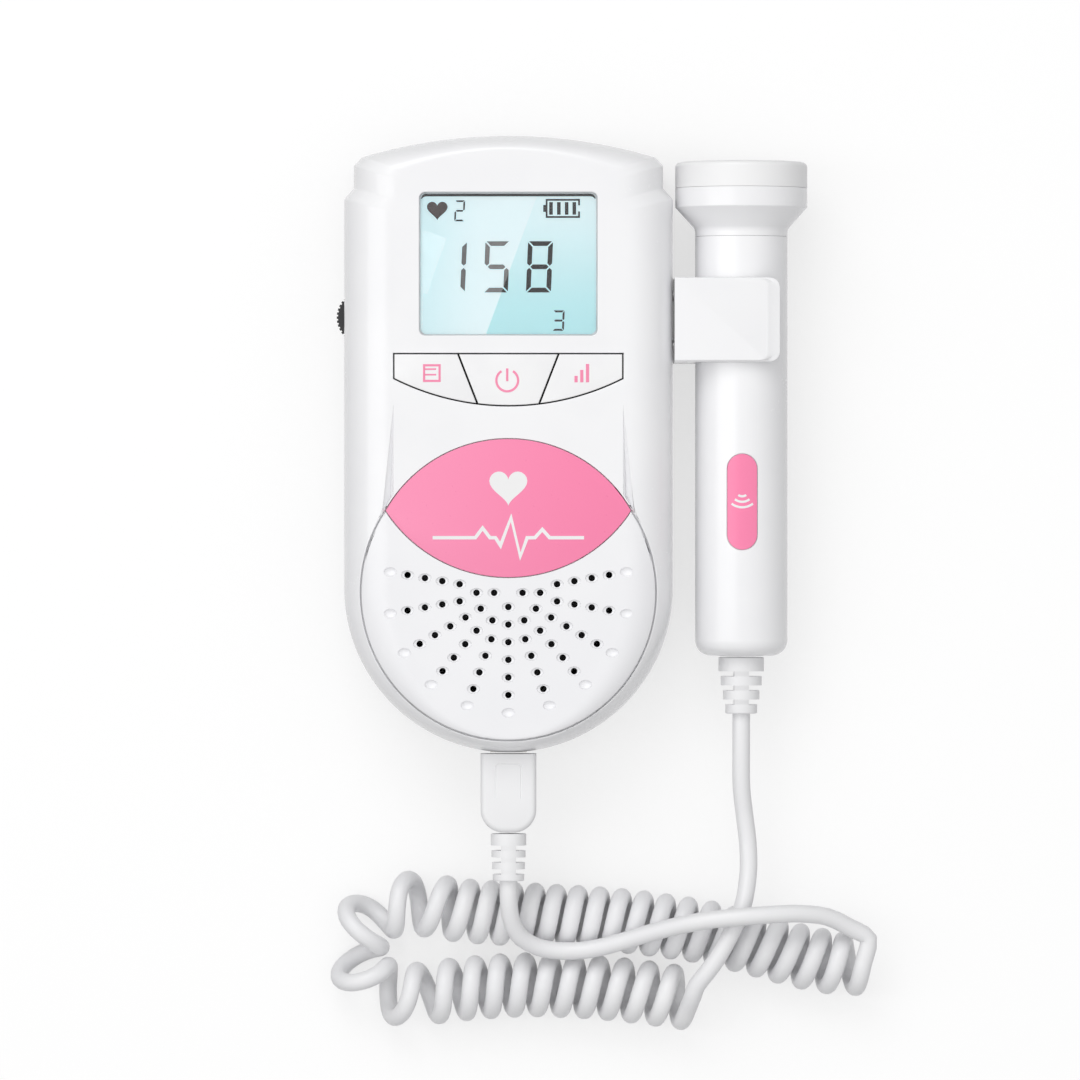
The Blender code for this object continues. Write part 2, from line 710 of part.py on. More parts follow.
def front_shell():
    shell = front_skin("front_shell")
    face = CASE_DEPTH
    window = rounded_rectangle(
        WINDOW_WIDTH + 2 * GAP, WINDOW_HEIGHT + 2 * GAP, WINDOW_CORNER, (0, WINDOW_Y)
    )
    inner = rounded_rectangle(
        WINDOW_WIDTH - 2 * WINDOW_LEDGE, WINDOW_HEIGHT - 2 * WINDOW_LEDGE, WINDOW_CORNER, (0, WINDOW_Y)
    )
    ledge = face - WINDOW_SUNK - WINDOW_THICKNESS - GAP
    panel = key_outline(PANEL_LEFT, PANEL_RIGHT, 2 * KEY_EDGE_STEPS)
    label_floor = face + LABEL_PROUD - LABEL_THICKNESS - GAP
    pilot_end = SCREW_SUNK + SCREW_LENGTH + 2 * GAP
    posts = rods("post_tubes", POSTS, POST_RADIUS, PARTING + GAP / 2, face - FRONT_WALL)
    # The posts end inside the wall where it rounds over
    middle = inset(case_outline(), WALL / 2)
    keep_within(posts, front_form("post_limit", middle, PARTING - OVERRUN, face - FRONT_WALL / 2))
    add(shell, posts)
    cut(
        shell,
        slab("window_pocket", window, ledge, face + OVERRUN),
        slab("window_opening", inner, face - FRONT_WALL - OVERRUN, ledge + OVERRUN / 2),
        slab("key_opening", inset(panel, -GAP), face - FRONT_WALL - OVERRUN, face + OVERRUN),
        rods(
            "grille_opening",
            [(0, PANEL_Y)],
            PANEL_RADIUS + GAP,
            face - FRONT_ROUND_HEIGHT + GAP,
            face + OVERRUN,
            2 * RUN_SIDES,
        ),
        slab("label_recess", lens_outline(GAP), label_floor, face + OVERRUN),
        rods("pilot_holes", POSTS, SCREW_RADIUS + GAP, PARTING - OVERRUN, pilot_end),
    )
    slot = WHEEL_RADIUS + WHEEL_SLOT_MARGIN
    nose = end_wall_y(JACK_X)
    plug_half = (TONGUE_WIDTH / 2 + GAP, TONGUE_HEIGHT / 2 + GAP)
    cut(
        shell,
        block(
            "wheel_slot",
            (-CASE_WIDTH / 2 - OVERRUN, WHEEL_Y - slot, WHEEL_LOW - WHEEL_SLOT_MARGIN),
            (-CASE_WIDTH / 2 + WALL + OVERRUN / 2, WHEEL_Y + slot, WHEEL_TOP + WHEEL_SLOT_MARGIN),
        ),
        rods(
            "jack_hole",
            [(JACK_X, -JACK_Z)],
            JACK_NOSE_RADIUS + GAP,
            nose - 2 * WALL,
            nose + OVERRUN,
            SMALL_SIDES,
            turn=TO_Y,
        ),
        block(
            "plug_opening",
            (-plug_half[0], -CASE_LENGTH / 2 - OVERRUN, PLUG_Z - plug_half[1]),
            (plug_half[0], -CASE_LENGTH / 2 + 2 * WALL, PLUG_Z + plug_half[1]),
        ),
        clip_screw_holes("front_clip_screw_holes"),
    )
    return paint(shell, (0.9, 0.9, 0.91), 0.25)


def grille_panel():
    """The round speaker panel, cut from the same skin, with its spokes of holes and blind dimples."""
    panel = front_skin("grille_panel")
    face = CASE_DEPTH
    keep_within(
        panel,
        rods(
            "grille_disc",
            [(0, PANEL_Y)],
            PANEL_RADIUS,
            face - FRONT_ROUND_HEIGHT + 2 * GAP,
            face + OVERRUN,
            2 * RUN_SIDES,
        ),
    )
    holes, blind = grille_places()
    label_floor = face + LABEL_PROUD - LABEL_THICKNESS - GAP
    cut(
        panel,
        slab("panel_label_recess", lens_outline(GAP), label_floor, face + OVERRUN),
        rods(
            "dimples",
            holes + blind,
            HOLE_RADIUS / 2,
            face - DIMPLE_DEPTH,
            face + DIMPLE_DEPTH,
            HOLE_SIDES,
            end_radius=2 * DIMPLE_RADIUS - HOLE_RADIUS / 2,
        ),
        rods("holes", holes, HOLE_RADIUS, face - FRONT_WALL - OVERRUN, face + OVERRUN, HOLE_SIDES),
    )
    return paint(panel, (0.92, 0.92, 0.93), 0.25)


def grille_places():
    """Centres of the through holes and of the outermost ring's blind dimples, spoke by spoke."""
    holes = []
    blind = []
    for ring in range(HOLE_RINGS):
        radius = HOLE_FIRST_RING + ring * HOLE_RING_STEP
        step, spokes = HOLE_RING_SPOKES[min(ring, len(HOLE_RING_SPOKES) - 1)]
        angles = [step * i for i in range(-spokes, spokes + 1)]
        spots = [(radius * math.sin(a), PANEL_Y - radius * math.cos(a)) for a in angles]
        if ring == HOLE_RINGS - 1:
            blind += spots
        else:
            holes += [(x, y) for x, y in spots if under_label(x, y)]
    return holes, blind


def under_label(x, y):
    """True where a hole clears the label's lower edge."""
    radius = (LABEL_HALF_WIDTH**2 + LABEL_DOWN**2) / (2 * LABEL_DOWN)
    middle = LABEL_TIP_Y - LABEL_DOWN + radius
    return math.hypot(x, y - middle) > radius + DIMPLE_RADIUS + GAP


def label_plate():
    top = CASE_DEPTH + LABEL_PROUD
    plate = slab("label_plate", lens_outline(), top - LABEL_THICKNESS, top)
    return paint(plate, (0.96, 0.36, 0.54), 0.3)


def display():
    """Window, liquid-crystal panel and backlight, stacked on the main board."""
    top = CASE_DEPTH - WINDOW_SUNK
    outline = rounded_rectangle(WINDOW_WIDTH, WINDOW_HEIGHT, WINDOW_CORNER, (0, WINDOW_Y))
    window = slab("lcd_window", outline, top - WINDOW_THICKNESS, top)
    paint(window, (0.78, 0.92, 0.94), 0.08)
    half = (WINDOW_WIDTH / 2 + MODULE_MARGIN, WINDOW_HEIGHT / 2 + MODULE_MARGIN)
    module_top = CASE_DEPTH - FRONT_WALL - GAP
    module_low = module_top - MODULE_THICKNESS
    module = block(
        "lcd_module",
        (-half[0], WINDOW_Y - half[1], module_low),
        (half[0], WINDOW_Y + half[1], module_top),
    )
    paint(module, (0.72, 0.86, 0.86), 0.2)
    light_top = module_low - GAP
    light = block(
        "lcd_backlight",
        (-half[0] + BOARD_THICKNESS, WINDOW_Y - half[1] + BOARD_THICKNESS, light_top - LIGHT_THICKNESS),
        (half[0] - BOARD_THICKNESS, WINDOW_Y + half[1] - BOARD_THICKNESS, light_top),
    )
    paint(light, (0.9, 0.95, 0.95), 0.4)


def main_board():
    board = block(
        "main_board",
        (-BOARD_WIDTH / 2, BOARD_LOW_Y, BOARD_TOP - BOARD_THICKNESS),
        (BOARD_WIDTH / 2, BOARD_HIGH_Y, BOARD_TOP),
    )
    paint(board, (0.05, 0.32, 0.14), 0.5)


def keys():
    """Three keys that share the panel, each over its own switch on the board."""
    back = CASE_DEPTH - FRONT_WALL
    for name, (left, right, switch_x) in KEYS.items():
        outline = [
            (x - switch_x, y - KEY_SWITCH_Y) for x, y in inset(key_outline(left, right), GAP)
        ]
        key = slab(name, outline, 0, FRONT_WALL + KEY_PROUD, (switch_x, KEY_SWITCH_Y, back))
        foot = SWITCH_TOP + KEY_TRAVEL + GAP
        add(
            key,
            rods(name + "_plunger", [(switch_x, KEY_SWITCH_Y)], KEY_PLUNGER_RADIUS, foot, back + GAP),
        )
        paint(key, (0.93, 0.93, 0.94), 0.25)
        low = BOARD_TOP + GAP
        half = SWITCH_SIZE / 2
        switch = block(
            name.replace("key", "switch"),
            (switch_x - half, KEY_SWITCH_Y - half, low),
            (switch_x + half, KEY_SWITCH_Y + half, low + SWITCH_HEIGHT),
        )
        add(
            switch,
            rods(
                name + "_button",
                [(switch_x, KEY_SWITCH_Y)],
                SWITCH_BUTTON_RADIUS,
                low + SWITCH_HEIGHT - GAP,
                SWITCH_TOP,
            ),
        )
        paint(switch, (0.08, 0.08, 0.09), 0.4)


def speaker():
    top = CASE_DEPTH - FRONT_WALL - GAP
    cloth = rods("speaker_cloth", [(0, PANEL_Y)], SPEAKER_RADIUS, top - CLOTH_THICKNESS, top, RUN_SIDES)
    paint(cloth, (0.03, 0.03, 0.035), 0.9)
    where = (0, PANEL_Y, top - CLOTH_THICKNESS - GAP)
    rim = SPEAKER_RIM
    basket = turned(
        "speaker_basket",
        [
            (SPEAKER_RADIUS, 0),
            (SPEAKER_RADIUS, -rim),
            (SPEAKER_RADIUS - 2 * rim, -rim),
            (SPEAKER_NECK_RADIUS, -SPEAKER_DEPTH),
            (SPEAKER_VENT_RADIUS, -SPEAKER_DEPTH),
            (SPEAKER_VENT_RADIUS, -SPEAKER_DEPTH + rim),
            (SPEAKER_NECK_RADIUS - rim, -SPEAKER_DEPTH + rim),
            (CONE_RADIUS + GAP, -2 * CONE_THICKNESS - GAP),
            (CONE_RADIUS + GAP, 0),
        ],
        where,
        closed=True,
    )
    paint(basket, (0.35, 0.36, 0.38), 0.35, 0.9)
    slope = (CONE_RADIUS - DUST_CAP_RADIUS) / CONE_DEPTH
    cone = turned(
        "speaker_cone",
        [
            (0, -CONE_DEPTH + DUST_CAP_RISE),
            (DUST_CAP_RADIUS * math.cos(math.pi / 4), -CONE_DEPTH + DUST_CAP_RISE * math.sin(math.pi / 4)),
            (DUST_CAP_RADIUS, -CONE_DEPTH),
            (CONE_RADIUS - CONE_THICKNESS * slope, -CONE_THICKNESS),
            (CONE_RADIUS, -CONE_THICKNESS),
            (CONE_RADIUS, -2 * CONE_THICKNESS),
            (CONE_RADIUS - CONE_THICKNESS * slope, -2 * CONE_THICKNESS),
            (DUST_CAP_RADIUS, -CONE_DEPTH - CONE_THICKNESS),
            (0, -CONE_DEPTH - CONE_THICKNESS),
        ],
        where,
    )
    paint(cone, (0.05, 0.05, 0.05), 0.8)
    high = where[2] - SPEAKER_DEPTH - GAP
    magnet = rods(
        "speaker_magnet", [(0, PANEL_Y)], MAGNET_RADIUS, high - MAGNET_HEIGHT, high, RUN_SIDES
    )
    paint(magnet, (0.5, 0.5, 0.52), 0.3, 0.9)


def volume_control():
    middle = (WHEEL_X, WHEEL_Y)
    wheel = rods(
        "volume_wheel", [(0, 0)], WHEEL_RADIUS, 0, WHEEL_THICKNESS, RUN_SIDES, where=(*middle, WHEEL_LOW)
    )
    cut(
        wheel,
        rods(
            "wheel_bore", [middle], WHEEL_SHAFT_RADIUS + GAP, WHEEL_LOW - OVERRUN, WHEEL_TOP + OVERRUN
        ),
    )
    paint(wheel, (0.02, 0.02, 0.022), 0.45)
    pot = block(
        "volume_potentiometer",
        (WHEEL_X - WHEEL_SHAFT_RADIUS, WHEEL_Y - POT_LENGTH / 2, POT_TOP - POT_THICKNESS),
        (WHEEL_X - WHEEL_SHAFT_RADIUS + POT_WIDTH, WHEEL_Y + POT_LENGTH / 2, POT_TOP),
    )
    add(
        pot,
        rods("pot_shaft", [middle], WHEEL_SHAFT_RADIUS, WHEEL_LOW, WHEEL_TOP + 2 * GAP),
    )
    paint(pot, (0.1, 0.1, 0.12), 0.4)


def headphone_jack():
    nose = end_wall_y(JACK_X) - JACK_NOSE_SUNK
    back = nose - WALL - GAP
    body = block(
        "headphone_jack",
        (JACK_X - JACK_WIDTH / 2, back - JACK_LENGTH, JACK_Z - JACK_HEIGHT / 2),
        (JACK_X + JACK_WIDTH / 2, back - GAP, JACK_Z + JACK_HEIGHT / 2),
    )
    centre = [(JACK_X, -JACK_Z)]
    add(body, rods("jack_nose", centre, JACK_NOSE_RADIUS, back - 2 * GAP, nose, turn=TO_Y))
    cut(
        body,
        rods("jack_bore", centre, JACK_BORE_RADIUS, nose - JACK_BORE_DEPTH, nose + OVERRUN, turn=TO_Y),
    )
    paint(body, (0.04, 0.04, 0.045), 0.4)


def probe_socket():
    inside = CASE_WIDTH / 2 - WALL
    front = (CASE_WIDTH - CASE_LENGTH) / 2 - math.sqrt(inside**2 - (SOCKET_WIDTH / 2) ** 2) + 2 * GAP
    body = block(
        "probe_socket",
        (-SOCKET_WIDTH / 2, front, PLUG_Z - SOCKET_HEIGHT / 2),
        (SOCKET_WIDTH / 2, front + SOCKET_LENGTH, PLUG_Z + SOCKET_HEIGHT / 2),
    )
    half = (TONGUE_WIDTH / 2 + GAP, TONGUE_HEIGHT / 2 + GAP)
    end = PLUG_FACE_Y + TONGUE_LENGTH + GAP
    cut(
        body,
        block(
            "socket_mouth",
            (-half[0], front - OVERRUN, PLUG_Z - half[1]),
            (half[0], end, PLUG_Z + half[1]),
        ),
    )
    paint(body, (0.55, 0.55, 0.57), 0.3, 0.9)


BAY_LENGTH = CELL_LENGTH + CELL_NUB_LENGTH + SPRING_LENGTH + 2 * CONTACT_THICKNESS + 5 * GAP
BAY_HIGH_Y = BAY_LOW_Y + BAY_LENGTH
CELL_Z = WALL + GAP + CELL_RADIUS
BAY_ROOF = CELL_Z + CELL_RADIUS + GAP


def cover_space(name, grow):
    """The L-shaped room of the battery cover, along the back and up the bottom end."""
    low = -CASE_LENGTH / 2 - OVERRUN
    high = BAY_HIGH_Y - COVER_LEDGE - GAP + grow
    lip = -CASE_LENGTH / 2 + COVER_LIP_DEPTH + grow
    outline = [
        (low, -OVERRUN),
        (high, -OVERRUN),
        (high, WALL + grow),
        (lip, WALL + grow),
        (lip, COVER_LIP_HEIGHT + grow),
        (low, COVER_LIP_HEIGHT + grow),
    ]
    half = BAY_HALF_WIDTH - GAP + grow
    return slab(name, outline, -half, half, turn=TO_X)


def back_shell():
    shell = back_skin("back_shell")
    bay = block(
        "bay_block",
        (-BAY_HALF_WIDTH - BAY_WALL, BAY_LOW_Y - BAY_WALL, WALL / 2),
        (BAY_HALF_WIDTH + BAY_WALL, BAY_HIGH_Y + BAY_WALL, BAY_ROOF + BAY_WALL),
    )
    keep_within(bay, slab("bay_limit", inset(case_outline(), WALL + GAP), 0, CASE_DEPTH))
    add(shell, bay, rods("screw_posts", POSTS, BACK_POST_RADIUS, WALL / 2, PARTING - GAP / 2))
    hollow = block(
        "bay_hollow",
        (-BAY_HALF_WIDTH, BAY_LOW_Y, WALL),
        (BAY_HALF_WIDTH, BAY_HIGH_Y, BAY_ROOF),
    )
    seat = SCREW_SUNK + SCREW_HEAD_HEIGHT + GAP
    cut(
        shell,
        hollow,
        cover_space("cover_cut", GAP),
        rods("screw_head_holes", POSTS, SCREW_HEAD_RADIUS + GAP, -OVERRUN, seat),
        rods("screw_holes", POSTS, SCREW_RADIUS + GAP, seat - GAP, PARTING + OVERRUN),
        clip_screw_holes("back_clip_screw_holes"),
    )
    return paint(shell, (0.9, 0.9, 0.91), 0.3)


def battery_cover():
    """The sliding door in the back, with a tongue under the shell's ledge and finger ridges."""
    cover = keep_within(back_skin("battery_cover"), cover_space("cover_keep", 0))
    edge = BAY_HIGH_Y - COVER_LEDGE - GAP
    add(
        cover,
        block(
            "tongue_foot",
            (-TONGUE_HALF_WIDTH, edge - 2 * TONGUE_REACH, WALL / 2),
            (TONGUE_HALF_WIDTH, edge - GAP, WALL + 2 * GAP + TONGUE_THICKNESS),
        ),
        block(
            "tongue_tip",
            (-TONGUE_HALF_WIDTH, edge - TONGUE_REACH, WALL + GAP),
            (TONGUE_HALF_WIDTH, edge + TONGUE_REACH, WALL + 2 * GAP + TONGUE_THICKNESS / 2),
        ),
    )
    for number in range(GRIP_COUNT):
        low = GRIP_Y + number * GRIP_PITCH
        cut(
            cover,
            block(
                f"grip_{number + 1}",
                (-GRIP_LENGTH / 2, low, -OVERRUN),
                (GRIP_LENGTH / 2, low + GRIP_WIDTH, GRIP_DEPTH),
            ),
        )
    return paint(cover, (0.9, 0.9, 0.91), 0.3)


def spring_curve(name, where, heading):
    """A conical battery spring, wide at its plate, wound along +Y or -Y."""
    curve = bpy.data.curves.new(name, "CURVE")
    curve.dimensions = "3D"
    curve.bevel_depth = SPRING_WIRE / 2
    curve.bevel_resolution = 1
    curve.use_fill_caps = True
    count = SPRING_TURNS * SPRING_POINTS
    spline = curve.splines.new("POLY")
    spline.points.add(count)
    travel = SPRING_LENGTH - SPRING_WIRE
    for number, point in enumerate(spline.points):
        share = number / count
        radius = SPRING_WIDE_RADIUS + (SPRING_NARROW_RADIUS - SPRING_WIDE_RADIUS) * share
        angle = 2 * math.pi * SPRING_TURNS * share
        along = heading * (SPRING_WIRE / 2 + travel * share)
        point.co = (radius * math.cos(angle), along, radius * math.sin(angle), 1)
    return place(name, curve, where)


def batteries():
    """Two cells side by side, head to tail, between their contacts."""
    room = CONTACT_THICKNESS + 2 * GAP + SPRING_LENGTH + GAP
    profile = [
        (0, CELL_LENGTH + CELL_NUB_LENGTH),
        (CELL_NUB_RADIUS, CELL_LENGTH + CELL_NUB_LENGTH),
        (CELL_NUB_RADIUS, CELL_LENGTH),
        (CELL_RADIUS - CELL_EDGE, CELL_LENGTH),
        (CELL_RADIUS, CELL_LENGTH - CELL_EDGE),
        (CELL_RADIUS, CELL_EDGE),
        (CELL_RADIUS - CELL_EDGE, 0),
        (0, 0),
    ]
    upper = turned("battery_1", profile, (-CELL_X, BAY_LOW_Y + room, CELL_Z), TO_Y, CELL_SIDES)
    lower = turned("battery_2", profile, (CELL_X, BAY_HIGH_Y - room, CELL_Z), TO_XZ, CELL_SIDES)
    for cell in (upper, lower):
        paint(cell, (0.12, 0.13, 0.15), 0.3, 0.6)
    half = CONTACT_WIDTH / 2
    plates = {
        "battery_bridge": (-CELL_X - half, CELL_X + half, BAY_LOW_Y + GAP),
        "battery_contact_positive": (-CELL_X - half, -CELL_X + half, BAY_HIGH_Y - GAP - CONTACT_THICKNESS),
        "battery_contact_negative": (CELL_X - half, CELL_X + half, BAY_HIGH_Y - GAP - CONTACT_THICKNESS),
    }
    for name, (left, right, low) in plates.items():
        plate = block(name, (left, low, CELL_Z - half), (right, low + CONTACT_THICKNESS, CELL_Z + half))
        paint(plate, (0.72, 0.72, 0.7), 0.3, 1.0)
    foot = CONTACT_THICKNESS + 2 * GAP
    springs = (
        spring_curve("battery_spring_lower", (-CELL_X, BAY_LOW_Y + foot, CELL_Z), 1),
        spring_curve("battery_spring_upper", (CELL_X, BAY_HIGH_Y - foot, CELL_Z), -1),
    )
    for spring in springs:
        paint(spring, (0.75, 0.75, 0.73), 0.25, 1.0)


def screw(name, length, where, turn):
    """A pan-head screw along its own Z, head first."""
    profile = [
        (0, SCREW_HEAD_HEIGHT + length),
        (SCREW_RADIUS, SCREW_HEAD_HEIGHT + length),
        (SCREW_RADIUS, SCREW_HEAD_HEIGHT),
        (SCREW_HEAD_RADIUS, SCREW_HEAD_HEIGHT),
        (SCREW_HEAD_RADIUS, SCREW_HEAD_CROWN),
        (SCREW_HEAD_RADIUS - SCREW_HEAD_CROWN, 0),
        (0, 0),
    ]
    piece = turned(name, profile, where, turn, SMALL_SIDES)
    paint(piece, (0.6, 0.6, 0.6), 0.3, 1.0)
    return piece


def screws():
    for number, (x, y) in enumerate(POSTS):
        screw(f"case_screw_{number + 1}", SCREW_LENGTH - SCREW_HEAD_HEIGHT, (x, y, SCREW_SUNK), (0, 0, 0))
    inside = CASE_WIDTH / 2 - WALL - GAP - SCREW_HEAD_HEIGHT
    for number, y in enumerate(CLIP_SCREWS):
        screw(f"clip_screw_{number + 1}", CLIP_SCREW_LENGTH, (inside, y, PROBE_Z), TO_X)


def probe_clip():
    """A spring clip of U section that holds the probe's handle and lets it out to the right."""
    bore = HANDLE_RADIUS + GAP
    outer = bore + CLIP_PLATE
    tip = PROBE_X + CLIP_REACH
    back = CASE_WIDTH / 2 + GAP
    mouth = arc((PROBE_X, 0), bore, -math.pi / 2, -3 * math.pi / 2, HALF_TURN_STEPS)
    outline = (
        [(back, -outer), (tip - CLIP_CHAMFER, -outer), (tip, -outer + CLIP_CHAMFER), (tip, -bore)]
        + mouth
        + [(tip, bore), (tip, outer - CLIP_CHAMFER), (tip - CLIP_CHAMFER, outer), (back, outer)]
    )
    clip = slab(
        "probe_clip", outline, -CLIP_LOW_Y - CLIP_HEIGHT, -CLIP_LOW_Y, (0, 0, PROBE_Z), TO_XZ
    )
    soften(clip, CLIP_EDGE)
    cut(
        clip,
        rods(
            "clip_pilots",
            [(y, PROBE_Z) for y in CLIP_SCREWS],
            SCREW_RADIUS + GAP,
            back - OVERRUN,
            back + CLIP_SCREW_LENGTH - WALL + GAP,
            turn=TO_X,
        ),
    )
    return paint(clip, (0.9, 0.9, 0.91), 0.25)


def relief(name, start_radius, end_radius, length, where, turn):
    """A ribbed strain relief: a collar and two rings on a thinner core, tapering to the lead."""
    step = length / (RELIEF_RIBS + 1)
    profile = [(0, 0), (start_radius, 0)]
    radius = start_radius
    for number in range(1, RELIEF_RIBS + 1):
        slot = -number * step
        profile += [(radius, slot), (RELIEF_CORE_RADIUS, slot), (RELIEF_CORE_RADIUS, slot - RELIEF_SLOT)]
        radius = start_radius + (end_radius - start_radius) * number / RELIEF_RIBS
        profile.append((radius, slot - RELIEF_SLOT))
    profile += [(end_radius, -length), (0, -length)]
    return turned(name, profile, where, turn, SMALL_SIDES)


def plug():
    corner = PLUG_CORNER
    half = PLUG_WIDTH / 2
    low = PLUG_FACE_Y - PLUG_LENGTH
    outline = (
        [(half, PLUG_FACE_Y), (-half, PLUG_FACE_Y)]
        + arc((-half + corner, low + corner), corner, math.pi, 3 * math.pi / 2, CORNER_STEPS)
        + arc((half - corner, low + corner), corner, 3 * math.pi / 2, 2 * math.pi, CORNER_STEPS)
    )
    shell = slab("plug_shell", outline, PLUG_Z - PLUG_HEIGHT / 2, PLUG_Z + PLUG_HEIGHT / 2)
    soften(shell, PLUG_EDGE)
    paint(shell, (0.9, 0.9, 0.91), 0.35)
    tongue = block(
        "plug_tongue",
        (-TONGUE_WIDTH / 2, PLUG_FACE_Y + GAP, PLUG_Z - TONGUE_HEIGHT / 2),
        (TONGUE_WIDTH / 2, PLUG_FACE_Y + TONGUE_LENGTH, PLUG_Z + TONGUE_HEIGHT / 2),
    )
    paint(tongue, (0.7, 0.7, 0.72), 0.25, 1.0)
    boot = relief(
        "plug_relief", RELIEF_RADIUS, RELIEF_END_RADIUS, RELIEF_LENGTH, (0, low - GAP, PLUG_Z), TO_Y
    )
    paint(boot, (0.9, 0.9, 0.91), 0.4)


def pill_outline(width, length, middle):
    """A pill along Y, about a middle point."""
    radius = width / 2
    run = length / 2 - radius
    upper = arc((middle[0], middle[1] + run), radius, 0, math.pi, 2 * CORNER_STEPS)
    lower = arc((middle[0], middle[1] - run), radius, math.pi, 2 * math.pi, 2 * CORNER_STEPS)
    return upper + lower


def pill(name, inner, outer, grow):
    """The label's pill, curved round the handle between two radii."""
    profile = [
        (outer, HANDLE_LENGTH),
        (outer, 0),
        (inner, 0),
        (inner, HANDLE_LENGTH),
    ]
    band = turned(name, profile, (PROBE_X, PROBE_LOW_Y, PROBE_Z), TO_Y, PROBE_SIDES, closed=True)
    middle = (PROBE_X, PILL_LOW_Y + PILL_LENGTH / 2)
    outline = pill_outline(PILL_WIDTH + 2 * grow, PILL_LENGTH + 2 * grow, middle)
    return keep_within(band, slab(name + "_outline", outline, PROBE_Z, PROBE_Z + outer + OVERRUN))


HORN_LOW = HANDLE_LENGTH + GAP
HORN_HIGH = HORN_LOW + HORN_CONE + HORN_RIM
HANDLE_BORE = HANDLE_RADIUS - HANDLE_WALL


def probe():
    where = (PROBE_X, PROBE_LOW_Y, PROBE_Z)
    foot = [
        (HANDLE_RADIUS - HANDLE_CORNER + x, HANDLE_CORNER + y)
        for x, y in arc((0, 0), HANDLE_CORNER, 0, -math.pi / 2, CORNER_STEPS)
    ]
    handle = turned(
        "probe_handle",
        [(HANDLE_RADIUS, HANDLE_LENGTH)]
        + foot
        + [
            (HANDLE_EXIT_RADIUS, 0),
            (HANDLE_EXIT_RADIUS, HANDLE_FLOOR),
            (HANDLE_BORE, HANDLE_FLOOR),
            (HANDLE_BORE, HANDLE_LENGTH),
        ],
        where,
        TO_Y,
        PROBE_SIDES,
        closed=True,
    )
    cut(handle, pill("pill_recess", HANDLE_RADIUS - PILL_DEPTH, HANDLE_RADIUS + OVERRUN, GAP))
    paint(handle, (0.9, 0.9, 0.91), 0.25)
    low = HANDLE_RADIUS - PILL_DEPTH + GAP
    paint(pill("probe_label", low, low + PILL_THICKNESS, 0), (0.96, 0.36, 0.54), 0.3)
    horn = turned(
        "probe_horn",
        [
            (HORN_RADIUS, HORN_HIGH),
            (HORN_RADIUS, HORN_LOW + HORN_CONE),
            (HANDLE_RADIUS, HORN_LOW),
            (HANDLE_BORE - GAP, HORN_LOW),
            (HANDLE_BORE - GAP, HORN_LOW - HORN_SPIGOT),
            (HANDLE_BORE - HORN_WALL, HORN_LOW - HORN_SPIGOT),
            (HANDLE_BORE - HORN_WALL, HORN_LOW),
            (HORN_RADIUS - HORN_WALL, HORN_LOW + HORN_CONE),
            (HORN_RADIUS - HORN_WALL, HORN_HIGH),
        ],
        where,
        TO_Y,
        PROBE_SIDES,
        closed=True,
    )
    paint(horn, (0.9, 0.9, 0.91), 0.25)
    top = HORN_HIGH + GAP + FACE_THICKNESS
    rim = arc((HORN_RADIUS - FACE_EDGE, top - FACE_EDGE), FACE_EDGE, math.pi / 2, 0, CORNER_STEPS)
    seat = HORN_HIGH + GAP
    face = turned(
        "probe_face", [(0, top)] + rim + [(HORN_RADIUS, seat), (0, seat)], where, TO_Y, PROBE_SIDES
    )
    paint(face, (0.93, 0.93, 0.93), 0.3)
    transducer(where)
    boot = relief(
        "probe_relief",
        PROBE_RELIEF_RADIUS,
        PROBE_RELIEF_END_RADIUS,
        PROBE_RELIEF_LENGTH,
        (PROBE_X, PROBE_LOW_Y - GAP, PROBE_Z),
        TO_Y,
    )
    paint(boot, (0.9, 0.9, 0.91), 0.4)


def transducer(where):
    """Two half-round crystals on a backing disc behind the face, and the board in the handle."""
    high = HORN_HIGH
    low = high - CRYSTAL_THICKNESS
    for name, start in (("crystal_transmit", 0), ("crystal_receive", math.pi)):
        lift = GAP if start == 0 else -GAP
        half = arc((0, lift), CRYSTAL_RADIUS, start, start + math.pi, HALF_TURN_STEPS)
        paint(slab(name, half, low, high, where, TO_Y), (0.75, 0.7, 0.6), 0.4, 0.3)
    backing = rods(
        "transducer_backing",
        [(0, 0)],
        HORN_RADIUS - HORN_WALL - GAP,
        low - GAP - BACKING_THICKNESS,
        low - GAP,
        RUN_SIDES,
        where=where,
        turn=TO_Y,
    )
    paint(backing, (0.1, 0.1, 0.1), 0.7)
    half = math.sqrt(HANDLE_BORE**2 - PROBE_BOARD_THICKNESS**2) - GAP
    base = PROBE_LOW_Y + PROBE_BOARD_START
    board = block(
        "probe_board",
        (PROBE_X - half, base, PROBE_Z - PROBE_BOARD_THICKNESS / 2),
        (PROBE_X + half, base + PROBE_BOARD_LENGTH, PROBE_Z + PROBE_BOARD_THICKNESS / 2),
    )
    paint(board, (0.05, 0.32, 0.14), 0.5)


def smooth_run(points, spacing):
    """Points about one spacing apart on a smooth curve through the chosen points."""
    chosen = [Vector(point) for point in points]
    padded = [2 * chosen[0] - chosen[1], *chosen, 2 * chosen[-1] - chosen[-2]]
    run = []
    for a, b, c, d in zip(padded, padded[1:], padded[2:], padded[3:]):
        steps = max(round((c - b).length / spacing), 1)
        for number in range(steps):
            t = number / steps
            slope = (c - a) * t
            bend = (2 * a - 5 * b + 4 * c - d) * t**2
            twist = (3 * b - a - 3 * c + d) * t**3
            run.append((2 * b + slope + bend + twist) / 2)
    return run + [chosen[-1]]


